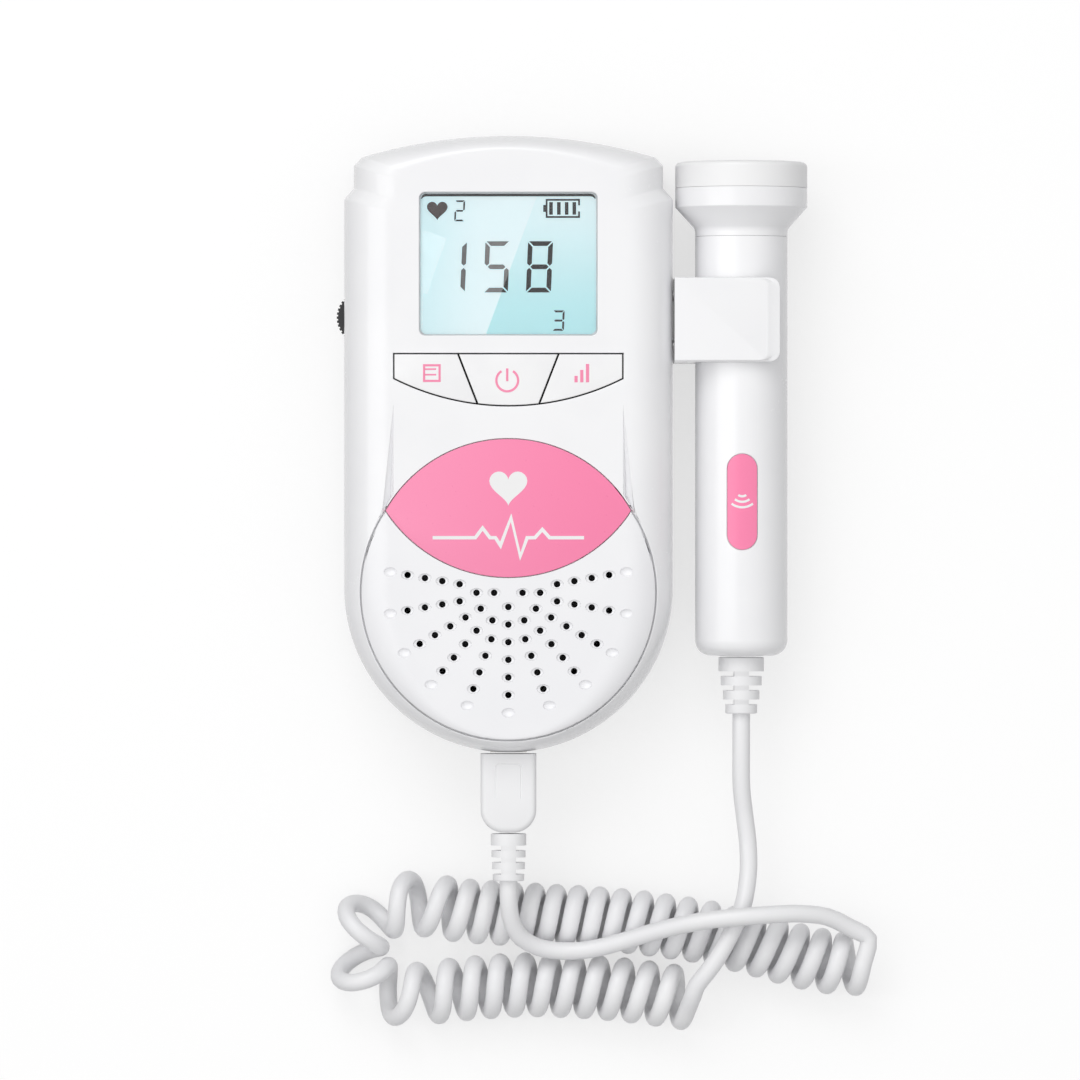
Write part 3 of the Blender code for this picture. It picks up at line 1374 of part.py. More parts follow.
def tube(name, points, resolution):
    curve = bpy.data.curves.new(name, "CURVE")
    curve.dimensions = "3D"
    curve.bevel_depth = CORD_DIAMETER / 2
    curve.bevel_resolution = resolution
    curve.use_fill_caps = True
    curve.twist_mode = "MINIMUM"
    spline = curve.splines.new("POLY")
    spline.points.add(len(points) - 1)
    for spot, point in zip(spline.points, points):
        spot.co = (*point, 1)
    spline.use_smooth = True
    return paint(place(name, curve), (0.88, 0.88, 0.89), 0.4)


def curl_points():
    """The helix along its curved axis, with its direction where the plug lead and the probe lead join it."""
    height = CURL_RADIUS + CORD_DIAMETER / 2
    stations = [(x, y, height) for x, y in CURL_AXIS]
    axis = smooth_run(stations, CORD_DIAMETER * AXIS_SPACING_SHARE)
    knots = [min(range(len(axis)), key=lambda i: (axis[i] - Vector(s)).length) for s in stations]
    turns = [0.0]
    for number in range(1, len(axis)):
        piece = max(k for k, knot in enumerate(knots[:-1]) if knot < number)
        share = (number - knots[piece]) / max(knots[piece + 1] - knots[piece], 1)
        pitch = CURL_PITCH_SHARES[piece] * (1 - share) + CURL_PITCH_SHARES[piece + 1] * share
        turns.append(turns[-1] + (axis[number] - axis[number - 1]).length / pitch)
    scale = CURL_COUNT / turns[-1]

    def on_curl(turn):
        at = max(i for i in range(len(axis) - 1) if turns[i] * scale <= turn)
        share = (turn - turns[at] * scale) / ((turns[at + 1] - turns[at]) * scale)
        ahead = (axis[min(at + 2, len(axis) - 1)] - axis[max(at - 1, 0)]).normalized()
        out = Vector((-ahead.y, ahead.x, 0))
        up = Vector((0, 0, 1))
        angle = 2 * math.pi * turn
        spoke = up * math.cos(angle) + out * math.sin(angle)
        return axis[at].lerp(axis[at + 1], share) + CURL_RADIUS * spoke

    last = CURL_COUNT - 1 / CURL_POINTS
    points = [on_curl(number / CURL_POINTS) for number in range(CURL_COUNT * CURL_POINTS)]
    step = 1 / (CURL_POINTS * CURL_POINTS)
    entry = (on_curl(step) - on_curl(0)).normalized()
    leave = (on_curl(last) - on_curl(last - step)).normalized()
    return points, entry, leave


def least_gap(points):
    """The least clear distance of a tube to itself, between stretches a third of a curl or more apart."""
    apart = CURL_POINTS // 2
    least = min(
        (points[i] - points[j]).length for i in range(len(points)) for j in range(i + apart, len(points))
    )
    return least - CORD_DIAMETER


def cords():
    """The plug lead, the curly stretch and the probe lead, which meet face to face."""
    curls, entry, leave = curl_points()
    first = curls[0] - entry * CORD_DIAMETER
    last = curls[-1] + leave * CORD_DIAMETER
    curly = [first, *curls, last]
    print(f"curly_cord: {len(curly)} points, least gap {least_gap(curly) * 1000:.2f} mm")
    tube("curly_cord", curly, 1)
    straight = GAP + CORD_DIAMETER / 2
    relief_end = PROBE_LOW_Y - 2 * GAP - PROBE_RELIEF_LENGTH
    plug_run = [*PLUG_LEAD, first - entry * straight, first - entry * GAP]
    probe_run = [last + leave * GAP, last + leave * straight, *PROBE_LEAD, (PROBE_X, relief_end, PROBE_Z)]
    spacing = CORD_DIAMETER * LEAD_SPACING_SHARE
    tube("plug_lead", smooth_run(plug_run, spacing), 2)
    tube("probe_lead", smooth_run(probe_run, spacing), 2)
    for name, run in (("plug_lead", plug_run), ("curly_cord", curly), ("probe_lead", probe_run)):
        length = sum((Vector(b) - Vector(a)).length for a, b in zip(run, run[1:]))
        print(f"{name}: {length * 1000:.0f} mm")


def carry(name, where, pieces):
    """Hangs the pieces of one moving body on an empty that stands on its joint's axis."""
    carrier = place(name, None, where)
    for piece in pieces:
        obj = bpy.data.objects[piece]
        obj.parent = carrier
        obj.location -= Vector(where)


PLUG_PIECES = ("plug_shell", "plug_tongue", "plug_relief")
PROBE_PIECES = (
    "probe_handle",
    "probe_label",
    "probe_horn",
    "probe_face",
    "crystal_transmit",
    "crystal_receive",
    "transducer_backing",
    "probe_board",
    "probe_relief",
)

front_shell()
grille_panel()
label_plate()
display()
main_board()
keys()
speaker()
volume_control()
headphone_jack()
probe_socket()
back_shell()
battery_cover()
batteries()
screws()
probe_clip()
plug()
probe()
cords()
carry("plug_carrier", (0, PLUG_FACE_Y, PLUG_Z), PLUG_PIECES)
carry("probe_carrier", (PROBE_X, PROBE_LOW_Y, PROBE_Z), PROBE_PIECES)
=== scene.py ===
"""Hand-held fetal doppler with its clip-on probe and curly lead, lying on its back on a table."""

import math

import bmesh
import bpy
from mathutils import Matrix, Vector


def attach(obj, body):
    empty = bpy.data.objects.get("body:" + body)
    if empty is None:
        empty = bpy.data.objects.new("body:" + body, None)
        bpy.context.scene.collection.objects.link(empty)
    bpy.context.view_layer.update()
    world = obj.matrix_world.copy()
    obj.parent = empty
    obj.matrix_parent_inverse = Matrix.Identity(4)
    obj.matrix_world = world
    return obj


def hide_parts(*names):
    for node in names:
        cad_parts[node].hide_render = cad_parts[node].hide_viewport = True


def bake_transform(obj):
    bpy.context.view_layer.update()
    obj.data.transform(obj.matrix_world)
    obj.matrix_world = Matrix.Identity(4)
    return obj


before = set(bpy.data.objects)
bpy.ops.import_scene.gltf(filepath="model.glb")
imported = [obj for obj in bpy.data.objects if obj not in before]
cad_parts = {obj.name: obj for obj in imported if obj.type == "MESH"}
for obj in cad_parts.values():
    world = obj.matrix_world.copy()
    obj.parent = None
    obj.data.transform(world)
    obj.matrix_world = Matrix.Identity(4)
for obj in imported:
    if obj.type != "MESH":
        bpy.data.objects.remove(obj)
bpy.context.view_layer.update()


# Camera: a long lens that looks straight down at the table, with the unit's top end up.
# The picture covers 237 mm of the table, and its middle lies to the lower right of the unit's.
VIEW_MIDDLE = (0.0069, -0.0210)
VIEW_WIDTH = 0.2371
VIEW_PLANE = 0.018
LENS = 300
SENSOR = 36
VIEW_LIMIT = 10


def added(name, data):
    """A new object in the scene."""
    item = bpy.data.objects.new(name, data)
    bpy.context.scene.collection.objects.link(item)
    return item


lens = bpy.data.cameras.new("product_lens")
lens.lens = LENS
lens.sensor_width = SENSOR
lens.clip_end = VIEW_LIMIT
camera = added("product_camera", lens)
camera.location = (*VIEW_MIDDLE, VIEW_PLANE + VIEW_WIDTH * LENS / SENSOR)
bpy.context.scene.camera = camera
bpy.context.scene.view_settings.view_transform = "Standard"


# Studio light: a pale dome, brightest overhead, a broad soft lamp beyond the top end and
# a weak long one on the left, which draws the highlight along the round pieces.
# The dome reads as plain white to the camera, in gloss and through clear plastic.
LAMPS = {
    "top_lamp": ((-0.35, 1.05, 1.25), (1.0, 1.0), 7.0),
    "left_lamp": ((-0.95, 0.0, 1.3), (0.3, 1.5), 2.6),
}
DOME_LOW = 0.06
DOME_RISE = 1.02

for name, (place, size, power) in LAMPS.items():
    lamp_data = bpy.data.lights.new(name, "AREA")
    lamp_data.shape = "RECTANGLE"
    lamp_data.size, lamp_data.size_y = size
    lamp_data.energy = power
    lamp = added(name, lamp_data)
    lamp.location = place
    lamp.rotation_euler = (-Vector(place)).to_track_quat("-Z", "Y").to_euler()


class Amount:
    """A number on a socket that joins in Python sums, each of which adds a Math node."""

    def __init__(self, tree, socket):
        self.tree = tree
        self.socket = socket

    def sum(self, kind, first, second):
        step = self.tree.nodes.new("ShaderNodeMath")
        step.operation = kind
        for slot, item in zip(step.inputs, (first, second)):
            if isinstance(item, Amount):
                self.tree.links.new(item.socket, slot)
            else:
                slot.default_value = item
        return Amount(self.tree, step.outputs[0])

    def __add__(self, other):
        return self.sum("ADD", self, other)

    def __sub__(self, other):
        return self.sum("SUBTRACT", self, other)

    def __mul__(self, other):
        return self.sum("MULTIPLY", self, other)

    def __rsub__(self, other):
        return self.sum("SUBTRACT", other, self)

    __radd__ = __add__
    __rmul__ = __mul__


class Nodes:
    """A tree of nodes and the one way that a node is added to it."""

    def __init__(self, tree):
        self.tree = tree

    def node(self, kind, output, sockets, **settings):
        """Any node: its settings first, then the values or links of its sockets."""
        made = self.tree.nodes.new(kind)
        for setting, value in settings.items():
            setattr(made, setting, value)
        for key, value in sockets.items():
            if isinstance(value, Amount):
                self.tree.links.new(value.socket, made.inputs[key])
            else:
                made.inputs[key].default_value = value
        return Amount(self.tree, made.outputs[output])

    def axes(self, place):
        """A place's x, y and z."""
        split = self.tree.nodes.new("ShaderNodeSeparateXYZ")
        self.tree.links.new(place.socket, split.inputs[0])
        return [Amount(self.tree, output) for output in split.outputs]

    def seen(self):
        """1 for what the camera, gloss and clear plastic see, and 0 for what lights a surface."""
        rays = ("Camera", "Glossy", "Transmission")
        eye, gloss, clear = [self.node("ShaderNodeLightPath", f"Is {ray} Ray", {}) for ray in rays]
        return eye.sum("MAXIMUM", eye, gloss.sum("MAXIMUM", gloss, clear))

    def blend(self, share, first, second):
        """One colour where share is 0 and the other where it is 1."""
        sockets = {0: share, 6: first, 7: second}
        return self.node("ShaderNodeMix", 2, sockets, data_type="RGBA")


room = bpy.data.worlds.new("pale_dome")
bpy.context.scene.world = room
room.use_nodes = True
dome = Nodes(room.node_tree)
height = dome.axes(dome.node("ShaderNodeTexCoord", "Generated", {}))[2]
overhead = DOME_LOW + DOME_RISE * height.sum("MAXIMUM", height, 0.0)
white = dome.seen()
room_light = room.node_tree.nodes["Background"]
room_light.inputs["Color"].default_value = (1, 1, 1, 1)
room.node_tree.links.new((overhead + white * (1 - overhead)).socket, room_light.inputs["Strength"])


# Finishes: each one is a small tree of nodes, written as sums on sockets.
# Patterns read Object coordinates, which are metres on the object as it lies.
FLOW_SIZE = 0.018
FLOW_RAMP = (0.35, 0.65)
FLOW_GLOSS = 0.06
GRAIN_GLOSS = 0.05


class Finish(Nodes):
    """A material and the nodes that make it."""

    def __init__(self, name):
        self.material = bpy.data.materials.new(name)
        self.material.use_nodes = True
        super().__init__(self.material.node_tree)
        self.surface = self.tree.nodes["Principled BSDF"]
        self.place = self.node("ShaderNodeTexCoord", "Object", {})

    def noise(self, size, detail=2.0):
        """Soft random patches of about the given size in metres, from 0 to 1."""
        sockets = {"Vector": self.place, "Scale": 1 / size, "Detail": detail}
        return self.node("ShaderNodeTexNoise", "Fac", sockets)

    def ramp(self, amount, low, high):
        """0 below low, 1 above high, and smooth between."""
        sockets = {"Value": amount, "From Min": low, "From Max": high}
        return self.node("ShaderNodeMapRange", "Result", sockets, interpolation_type="SMOOTHSTEP")

    def relief(self, height, depth):
        """Raises the surface by up to depth metres."""
        sockets = {"Height": height, "Distance": depth, "Strength": 1.0}
        return self.node("ShaderNodeBump", "Normal", sockets)

    def set(self, **sockets):
        for key, value in sockets.items():
            slot = self.surface.inputs[key.replace("_", " ")]
            if isinstance(value, Amount):
                self.tree.links.new(value.socket, slot)
            else:
                slot.default_value = value
        return self.material


def moulded(name, light, dark, gloss, grain_size=0.0006, grain_depth=0.000004, **more):
    """Moulded plastic: two close tones in broad flow patches, under a fine skin from the tool."""
    finish = Finish(name)
    flow = finish.noise(FLOW_SIZE, 3)
    skin = finish.noise(grain_size)
    return finish.set(
        Base_Color=finish.blend(finish.ramp(flow, *FLOW_RAMP), (*light, 1), (*dark, 1)),
        Roughness=gloss + FLOW_GLOSS * flow + GRAIN_GLOSS * skin,
        Normal=finish.relief(skin, grain_depth),
        **more,
    )


# Table: a plain white board, matt, that keeps the object's soft shadow. To the camera a part
# of its white is its own, and it throws less light back up, so that white edges stay visible.
TABLE_HALF = 3.0
TABLE_GLOW = (0.66, 0.66, 0.66, 1)
TABLE_SHADED = (0.34, 0.34, 0.34, 1)
TABLE_BOUNCE = (0.42, 0.42, 0.43, 1)

table_mesh = bpy.data.meshes.new("table")
corners = [(x * TABLE_HALF, y * TABLE_HALF, 0) for x, y in ((-1, -1), (1, -1), (1, 1), (-1, 1))]
table_mesh.from_pydata(corners, [], [(0, 1, 2, 3)])
table = added("table", table_mesh)
board = Finish("table_white")
looked_at = board.seen()
table_white = board.set(
    Base_Color=board.blend(looked_at, TABLE_BOUNCE, TABLE_SHADED),
    Emission_Color=board.blend(looked_at, (0, 0, 0, 1), TABLE_GLOW),
    Emission_Strength=1.0,
    Roughness=0.85 + 0.05 * board.noise(0.02),
    Specular_IOR_Level=0.1,
)
table.data.materials.append(table_white)


# Lead: soft white polyurethane cord, 3.9 mm across. The long middle is wound into 34 curls
# and set by heat. One end enters the plug's relief and the other the relief under the probe.
CORD_DIAMETER = 0.0039
CORD_SIDES = 18
CURL_RADIUS = 0.00525
CURL_COUNT = 34
CURL_POINTS = 9
CURL_FINE_POINTS = 27
FLOOR_LIFT = 0.00003
SHARP_ANGLE = math.radians(35)
# Where a lead runs straight into the curls, and how far the curls' end reaches, in cord widths
JOINT_SHARES = (1.5, 0.5)
CURL_TAIL = 0.6
CURL_AXIS = (
    (0.0780, -0.1145), (0.0720, -0.1143), (0.0640, -0.1128), (0.0560, -0.1106), (0.0480, -0.1086),
    (0.0400, -0.1070), (0.0245, -0.1050), (0.0070, -0.1039), (-0.0090, -0.1029), (-0.0165, -0.1018),
    (-0.0235, -0.1013), (-0.0306, -0.1042), (-0.0335, -0.1113), (-0.0306, -0.1184),
    (-0.0235, -0.1213), (-0.0165, -0.1208), (-0.0090, -0.1200), (0.0050, -0.1192),
    (0.0220, -0.1200), (0.0400, -0.1222),
)
CURL_PITCH_SHARES = (
    1.30, 1.15, 1.08, 1.05, 1.05, 1.05, 1.0, 1.0, 1.05, 1.45,
    2.1, 2.3, 2.3, 2.3, 2.1, 1.5, 1.15, 1.12, 1.12, 1.2,
)
PLUG_LEAD = (
    (0.0000, -0.0961, 0.0216), (0.0000, -0.0995, 0.0213), (0.0004, -0.1035, 0.0198),
    (0.0020, -0.1075, 0.0176), (0.0062, -0.1104, 0.0153), (0.0120, -0.1114, 0.0143),
    (0.0180, -0.1110, 0.0147), (0.0240, -0.1095, 0.0161), (0.0300, -0.1076, 0.0176),
    (0.0365, -0.1058, 0.0192), (0.0435, -0.1044, 0.0208), (0.0510, -0.1036, 0.0217),
    (0.0580, -0.1031, 0.0209), (0.0640, -0.1030, 0.0190), (0.0700, -0.1038, 0.0164),
    (0.0750, -0.1062, 0.0141),
)
PROBE_LEAD = (
    (0.0414, -0.1188, 0.0163), (0.0436, -0.1160, 0.0172), (0.0460, -0.1126, 0.0175),
    (0.0481, -0.1089, 0.0175), (0.0500, -0.1052, 0.0172), (0.0514, -0.1016, 0.0165),
    (0.0523, -0.0976, 0.0152), (0.0528, -0.0926, 0.0137), (0.0526, -0.0872, 0.0131),
    (0.0519, -0.0815, 0.0138), (0.0512, -0.0755, 0.0153), (0.0511, -0.0690, 0.0165),
    (0.0511, -0.0630, 0.0170),
)
PLUG_CORD_END = (0.0, -0.0949, 0.0216)
PROBE_CORD_END = (0.0511, -0.0575, 0.0170)


def smooth_run(points, spacing):
    """Points about one spacing apart on a smooth curve through the chosen ones."""
    chosen = [Vector(point) for point in points]
    padded = [2 * chosen[0] - chosen[1], *chosen, 2 * chosen[-1] - chosen[-2]]
    run = []
    for a, b, c, d in zip(padded, padded[1:], padded[2:], padded[3:]):
        steps = max(round((c - b).length / spacing), 1)
        for number in range(steps):
            t = number / steps
            slope = (c - a) * t
            curve = (2 * a - 5 * b + 4 * c - d) * t**2
            twist = (3 * b - a - 3 * c + d) * t**3
            run.append((2 * b + slope + curve + twist) / 2)
    return run + [chosen[-1]]


def wound_cord():
    """The curls' middle line along their curved axis, and the way it runs at both ends."""
    height = CURL_RADIUS + CORD_DIAMETER / 2 + FLOOR_LIFT
    stations = [(x, y, height) for x, y in CURL_AXIS]
    axis = smooth_run(stations, CORD_DIAMETER / 20)
    knots = [min(range(len(axis)), key=lambda i: (axis[i] - Vector(s)).length) for s in stations]
    turns = [0.0]
    for number in range(1, len(axis)):
        piece = max(k for k, knot in enumerate(knots[:-1]) if knot < number)
        share = (number - knots[piece]) / max(knots[piece + 1] - knots[piece], 1)
        pitch = CURL_PITCH_SHARES[piece] * (1 - share) + CURL_PITCH_SHARES[piece + 1] * share
        turns.append(turns[-1] + (axis[number] - axis[number - 1]).length / pitch)
    scale = CURL_COUNT / turns[-1]

    def on_curl(turn):
        at = max(i for i in range(len(axis) - 1) if turns[i] * scale <= turn)
        share = (turn - turns[at] * scale) / ((turns[at + 1] - turns[at]) * scale)
        ahead = (axis[min(at + 2, len(axis) - 1)] - axis[max(at - 1, 0)]).normalized()
        out = Vector((-ahead.y, ahead.x, 0))
        angle = 2 * math.pi * turn
        spoke = Vector((0, 0, 1)) * math.cos(angle) + out * math.sin(angle)
        return axis[at].lerp(axis[at + 1], share) + CURL_RADIUS * spoke

    last = CURL_COUNT - 1 / CURL_POINTS
    count = round(last * CURL_FINE_POINTS)
    points = [on_curl(last * number / count) for number in range(count + 1)]
    step = 1 / (CURL_POINTS * CURL_POINTS)
    entry = (on_curl(step) - on_curl(0)).normalized()
    leave = (on_curl(last) - on_curl(last - step)).normalized()
    return points, entry, leave


def tube(name, points, radius, sides):
    """A closed round tube along points, with rings that don't twist."""
    shape = bmesh.new()
    across = Vector((0, 0, 1)).cross(points[1] - points[0])
    across = across.normalized() if across.length > 0 else Vector((1, 0, 0))
    rings = []
    for number, point in enumerate(points):
        ahead = (points[min(number + 1, len(points) - 1)] - points[max(number - 1, 0)]).normalized()
        across = (across - ahead * across.dot(ahead)).normalized()
        up = ahead.cross(across)
        ring = []
        for side in range(sides):
            angle = 2 * math.pi * side / sides
            spoke = across * math.cos(angle) + up * math.sin(angle)
            ring.append(shape.verts.new(point + radius * spoke))
        rings.append(ring)
    for low, high in zip(rings, rings[1:]):
        for side in range(sides):
            other = (side + 1) % sides
            shape.faces.new((low[side], low[other], high[other], high[side]))
    shape.faces.new(reversed(rings[0]))
    shape.faces.new(rings[-1])
    return made(name, shape)


def made(name, shape):
    """The finished mesh of a piece, smooth between the edges that are sharp past one angle."""
    bmesh.ops.recalc_face_normals(shape, faces=shape.faces)
    mesh = bpy.data.meshes.new(name)
    shape.to_mesh(mesh)
    shape.free()
    mesh.shade_smooth()
    mesh.set_sharp_from_angle(angle=SHARP_ANGLE)
    return added(name, mesh)


cord_white = moulded("cord_white", (0.87, 0.87, 0.88), (0.845, 0.845, 0.86), 0.30, 0.0009, 0.000008)

curls, entry, leave = wound_cord()
plug_joint = [curls[0] - entry * CORD_DIAMETER * share for share in JOINT_SHARES]
plug_path = smooth_run([PLUG_CORD_END, *PLUG_LEAD, *plug_joint], CORD_DIAMETER / 2)[:-1]
plug_path += curls + [curls[-1] + leave * CORD_DIAMETER * CURL_TAIL]
plug_cord = tube("plug_lead_and_curls", plug_path, CORD_DIAMETER / 2, CORD_SIDES)
plug_cord.data.materials.append(cord_white)

probe_joint = [curls[-1] + leave * CORD_DIAMETER * share for share in reversed(JOINT_SHARES)]
probe_path = smooth_run([*probe_joint, *PROBE_LEAD, PROBE_CORD_END], CORD_DIAMETER / 2)
probe_cord = tube("probe_lead_cord", probe_path, CORD_DIAMETER / 2, CORD_SIDES)
probe_cord.data.materials.append(cord_white)


def run_length(path):
    """Length of a path."""
    return sum((b - a).length for a, b in zip(path, path[1:]))


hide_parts("plug_lead", "curly_cord")
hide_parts("probe_lead")
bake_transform(plug_cord)
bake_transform(probe_cord)
run_length(plug_path)
run_length(probe_path)


# Back half of the case: white ABS, moulded as an open tray with the battery bay, the posts
# for the case screws and the opening for the cover. The unit rests on its flat back.
GAP = 0.0003
OVERRUN = 0.004
CASE_LENGTH = 0.135
CASE_WIDTH = 0.072
CASE_DEPTH = 0.033
PARTING = 0.015
WALL = 0.0022
SHOULDER_WIDTH = 0.0678
SHOULDER_DROP = 0.0115
SHOULDER_STEP = 0.0024
SHOULDER_EASE = 0.0009
OUTLINE_SIDE = 0.0025
TOP_ARC_RADIUS = 0.112
TOP_CORNER = 0.0018
BACK_ROUND_HEIGHT = 0.005
BACK_ROUND_WIDTH = 0.004
BAY_HALF_WIDTH = 0.0155
BAY_LOW_Y = -0.0599
BAY_HIGH_Y = -0.0026
BAY_WALL = 0.0012
BAY_ROOF = 0.017
COVER_EDGE_Y = -0.0049
COVER_LIP_DEPTH = 0.0050
COVER_LIP_HEIGHT = 0.008
POST_PLACES = ((-0.030, 0.050), (0.030, 0.050), (-0.030, -0.006), (0.030, -0.006))
BACK_POST_RADIUS = 0.0042
SCREW_RADIUS = 0.0012
SCREW_HEAD_RADIUS = 0.0026
SCREW_HEAD_HEIGHT = 0.0018
SCREW_SUNK = 0.001
TINY = 0.00001
FACE_SHARE = 0.99
# Bends fainter than this stay sharp, a round takes up at most one of these parts of a side, and
# a mitre is drawn out no further than for this cosine
FAINT_BEND = math.radians(12)
SIDE_PARTS = 2.1
MITRE_LEAST = 0.35
CASE_TONES = ((0.925, 0.925, 0.937), (0.905, 0.905, 0.92))


def arc(centre, radius, start, end, steps):
    """Points along an arc in degrees, both ends included."""
    angles = [math.radians(start + (end - start) * i / steps) for i in range(steps + 1)]
    return [(centre[0] + radius * math.cos(a), centre[1] + radius * math.sin(a)) for a in angles]


def inset(outline, distance):
    """An anticlockwise outline moved inwards by one distance."""
    path = []
    for i, here in enumerate(outline):
        point = Vector(here)
        before = (point - Vector(outline[i - 1])).normalized()
        after = (Vector(outline[(i + 1) % len(outline)]) - point).normalized()
        left = Vector((-before.y - after.y, before.x + after.x)).normalized()
        share = max(left.dot(Vector((-before.y, before.x))), MITRE_LEAST)
        path.append(tuple(point + left * distance / share))
    return path


def bend(before, here, after, radius, steps):
    """Points that round off the corner of two sides at here."""
    point = Vector(here)
    toward = point - Vector(before)
    onward = Vector(after) - point
    reach = radius * math.tan(toward.angle(onward) / 2)
    reach = min(reach, toward.length / SIDE_PARTS, onward.length / SIDE_PARTS)
    start = point - toward.normalized() * reach
    end = point + onward.normalized() * reach
    shares = [step / steps for step in range(steps + 1)]
    return [tuple(start * (1 - t) ** 2 + point * 2 * t * (1 - t) + end * t**2) for t in shares]


def eased(outline, radius, steps=5):
    """An outline with all but its faint bends rounded off."""
    path = []
    for i, here in enumerate(outline):
        before = outline[i - 1]
        after = outline[(i + 1) % len(outline)]
        turn = (Vector(here) - Vector(before)).angle(Vector(after) - Vector(here))
        path += [here] if turn < FAINT_BEND else bend(before, here, after, radius, steps)
    return path


def loft(name, levels):
    """A closed solid through outlines of as many points each, given as (outline, height)."""
    shape = bmesh.new()
    rings = [[shape.verts.new((x, y, height)) for x, y in outline] for outline, height in levels]
    for low, high in zip(rings, rings[1:]):
        for i in range(len(low)):
            j = (i + 1) % len(low)
            shape.faces.new((low[i], low[j], high[j], high[i]))
    shape.faces.new(reversed(rings[0]))
    shape.faces.new(rings[-1])
    return made(name, shape)


def round_edge(outline, high, edge, side=1, steps=3):
    """The levels of an upper edge that is rounded over, or that flares where side is -1."""
    levels = []
    for step in range(steps + 1):
        angle = math.pi / 2 * step / steps
        ring = inset(outline, side * edge * (1 - math.cos(angle)))
        levels.append((ring, high - edge * (1 - math.sin(angle))))
    return levels


def plate(name, outline, low, high, edge=0.0):
    """A flat plate, with its upper edge rounded over by a width."""
    upper = round_edge(outline, high, edge) if edge else [(outline, high)]
    return loft(name, [(outline, low), *upper])


def bar(left, low, right, high):
    """A rectangle's outline."""
    return [(left, low), (right, low), (right, high), (left, high)]


def block(name, low, high):
    """A box between its lowest and its highest corner."""
    return plate(name, bar(low[0], low[1], high[0], high[1]), low[2], high[2])


def rods(name, places, radius, low, high, sides=32):
    """Upright round pins at the given places, in one mesh."""
    shape = bmesh.new()
    sizes = {"radius1": radius, "radius2": radius, "depth": high - low}
    for x, y in places:
        middle = Matrix.Translation((x, y, (low + high) / 2))
        bmesh.ops.create_cone(shape, cap_ends=True, segments=sides, matrix=middle, **sizes)
    return made(name, shape)


def baked(piece):
    """Turns a piece's modifiers into plain mesh."""
    bpy.context.view_layer.update()
    graph = bpy.context.evaluated_depsgraph_get()
    mesh = bpy.data.meshes.new_from_object(piece.evaluated_get(graph))
    piece.modifiers.clear()
    piece.data = mesh
    return piece


def settled(piece, helpers=()):
    """Takes up a piece's modifiers, removes the pieces that cut it and takes out tiny edges."""
    baked(piece)
    for helper in helpers:
        bpy.data.objects.remove(helper, do_unlink=True)
    shape = bmesh.new()
    shape.from_mesh(piece.data)
    bmesh.ops.dissolve_degenerate(shape, dist=TINY, edges=shape.edges)
    shape.to_mesh(piece.data)
    shape.free()
    piece.data.shade_smooth()
    piece.data.set_sharp_from_angle(angle=SHARP_ANGLE)
    return piece


def carve(piece, *cutters, operation="DIFFERENCE"):
    """Cuts a piece by others, or joins or limits it to them."""
    for cutter in cutters:
        step = piece.modifiers.new(cutter.name, "BOOLEAN")
        step.operation = operation
        step.solver = "EXACT"
        step.object = cutter
    return settled(piece, cutters)


def laid(piece, *rows):
    """Turns or mirrors a piece by a matrix that is given as three rows."""
    turn = Matrix(rows)
    piece.data.transform(turn.to_4x4())
    if turn.determinant() < 0:
        piece.data.flip_normals()
    return piece


def fit(piece, finish, body, slot, *nodes):
    """Gives a piece its finish, hides the solids that it stands for and seats it on its body."""
    piece.data.materials.clear()
    piece.data.materials.append(finish)
    piece.data.polygons.foreach_set("material_index", [0] * len(piece.data.polygons))
    if nodes:
        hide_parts(*nodes)
    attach(piece, body)


def studded(outline, longest):
    """An outline with points added, so that none of its sides is too long."""
    path = []
    for (x, y), (next_x, next_y) in zip(outline, outline[1:] + outline[:1]):
        count = math.ceil(math.dist((x, y), (next_x, next_y)) / longest)
        path += [(x + (next_x - x) * i / count, y + (next_y - y) * i / count) for i in range(count)]
    return path


def case_outline(inward=0.0, bottom_steps=96, top_steps=36):
    """The unit's outline from the front, or one that lies inwards of it by a wall."""
    half = CASE_WIDTH / 2
    top = CASE_LENGTH / 2
    shoulder = SHOULDER_WIDTH / 2
    lean = math.degrees(math.asin((shoulder - TOP_CORNER) / TOP_ARC_RADIUS))
    crown = arc((0, top - TOP_ARC_RADIUS), TOP_ARC_RADIUS, 90 - lean, 90 + lean, top_steps)
    step_y = top - SHOULDER_DROP
    corner_y = crown[0][1] - TOP_CORNER
    right = [(half, step_y - SHOULDER_STEP), (shoulder, step_y), (shoulder, corner_y)]
    left = [(-x, y) for x, y in reversed(right)]
    outline = arc((0, half - top), half, 180, 360, bottom_steps) + right + crown + left
    return studded(eased(inset(outline, inward), SHOULDER_EASE), OUTLINE_SIDE)


def rounded_half(name, outline, foot, side, face, side_width, end_width, steps=16):
    """Half a case: straight from its foot to side height, then rounded over to its flat face."""
    reach = CASE_WIDTH / 2
    end = CASE_LENGTH / 2
    levels = [(outline, foot)]
    for step in range(steps + 1):
        angle = math.pi / 2 * step / steps
        inward = 1 - math.cos(angle)
        across = 1 - side_width / reach * inward
        along = 1 - end_width / end * inward
        height = side + (face - side) * math.sin(angle)
        levels.append(([(x * across, y * along) for x, y in outline], height))
    levels.append(([(x * FACE_SHARE, y * FACE_SHARE) for x, y in levels[-1][0]], face))
    return loft(name, levels)


def back_form(name, inward, foot, face):
    """The back half's rounded form, as far inwards of the outside as asked."""
    widths = (BACK_ROUND_WIDTH, BACK_ROUND_WIDTH)
    return rounded_half(name, case_outline(inward), foot, BACK_ROUND_HEIGHT, face, *widths)


def back_skin(name):
    """The back half's wall, following its rounded outside."""
    foot = PARTING - GAP / 2
    outside = back_form(name, 0.0, foot, 0)
    return carve(outside, back_form(name + "_hollow", WALL, foot + OVERRUN, WALL))


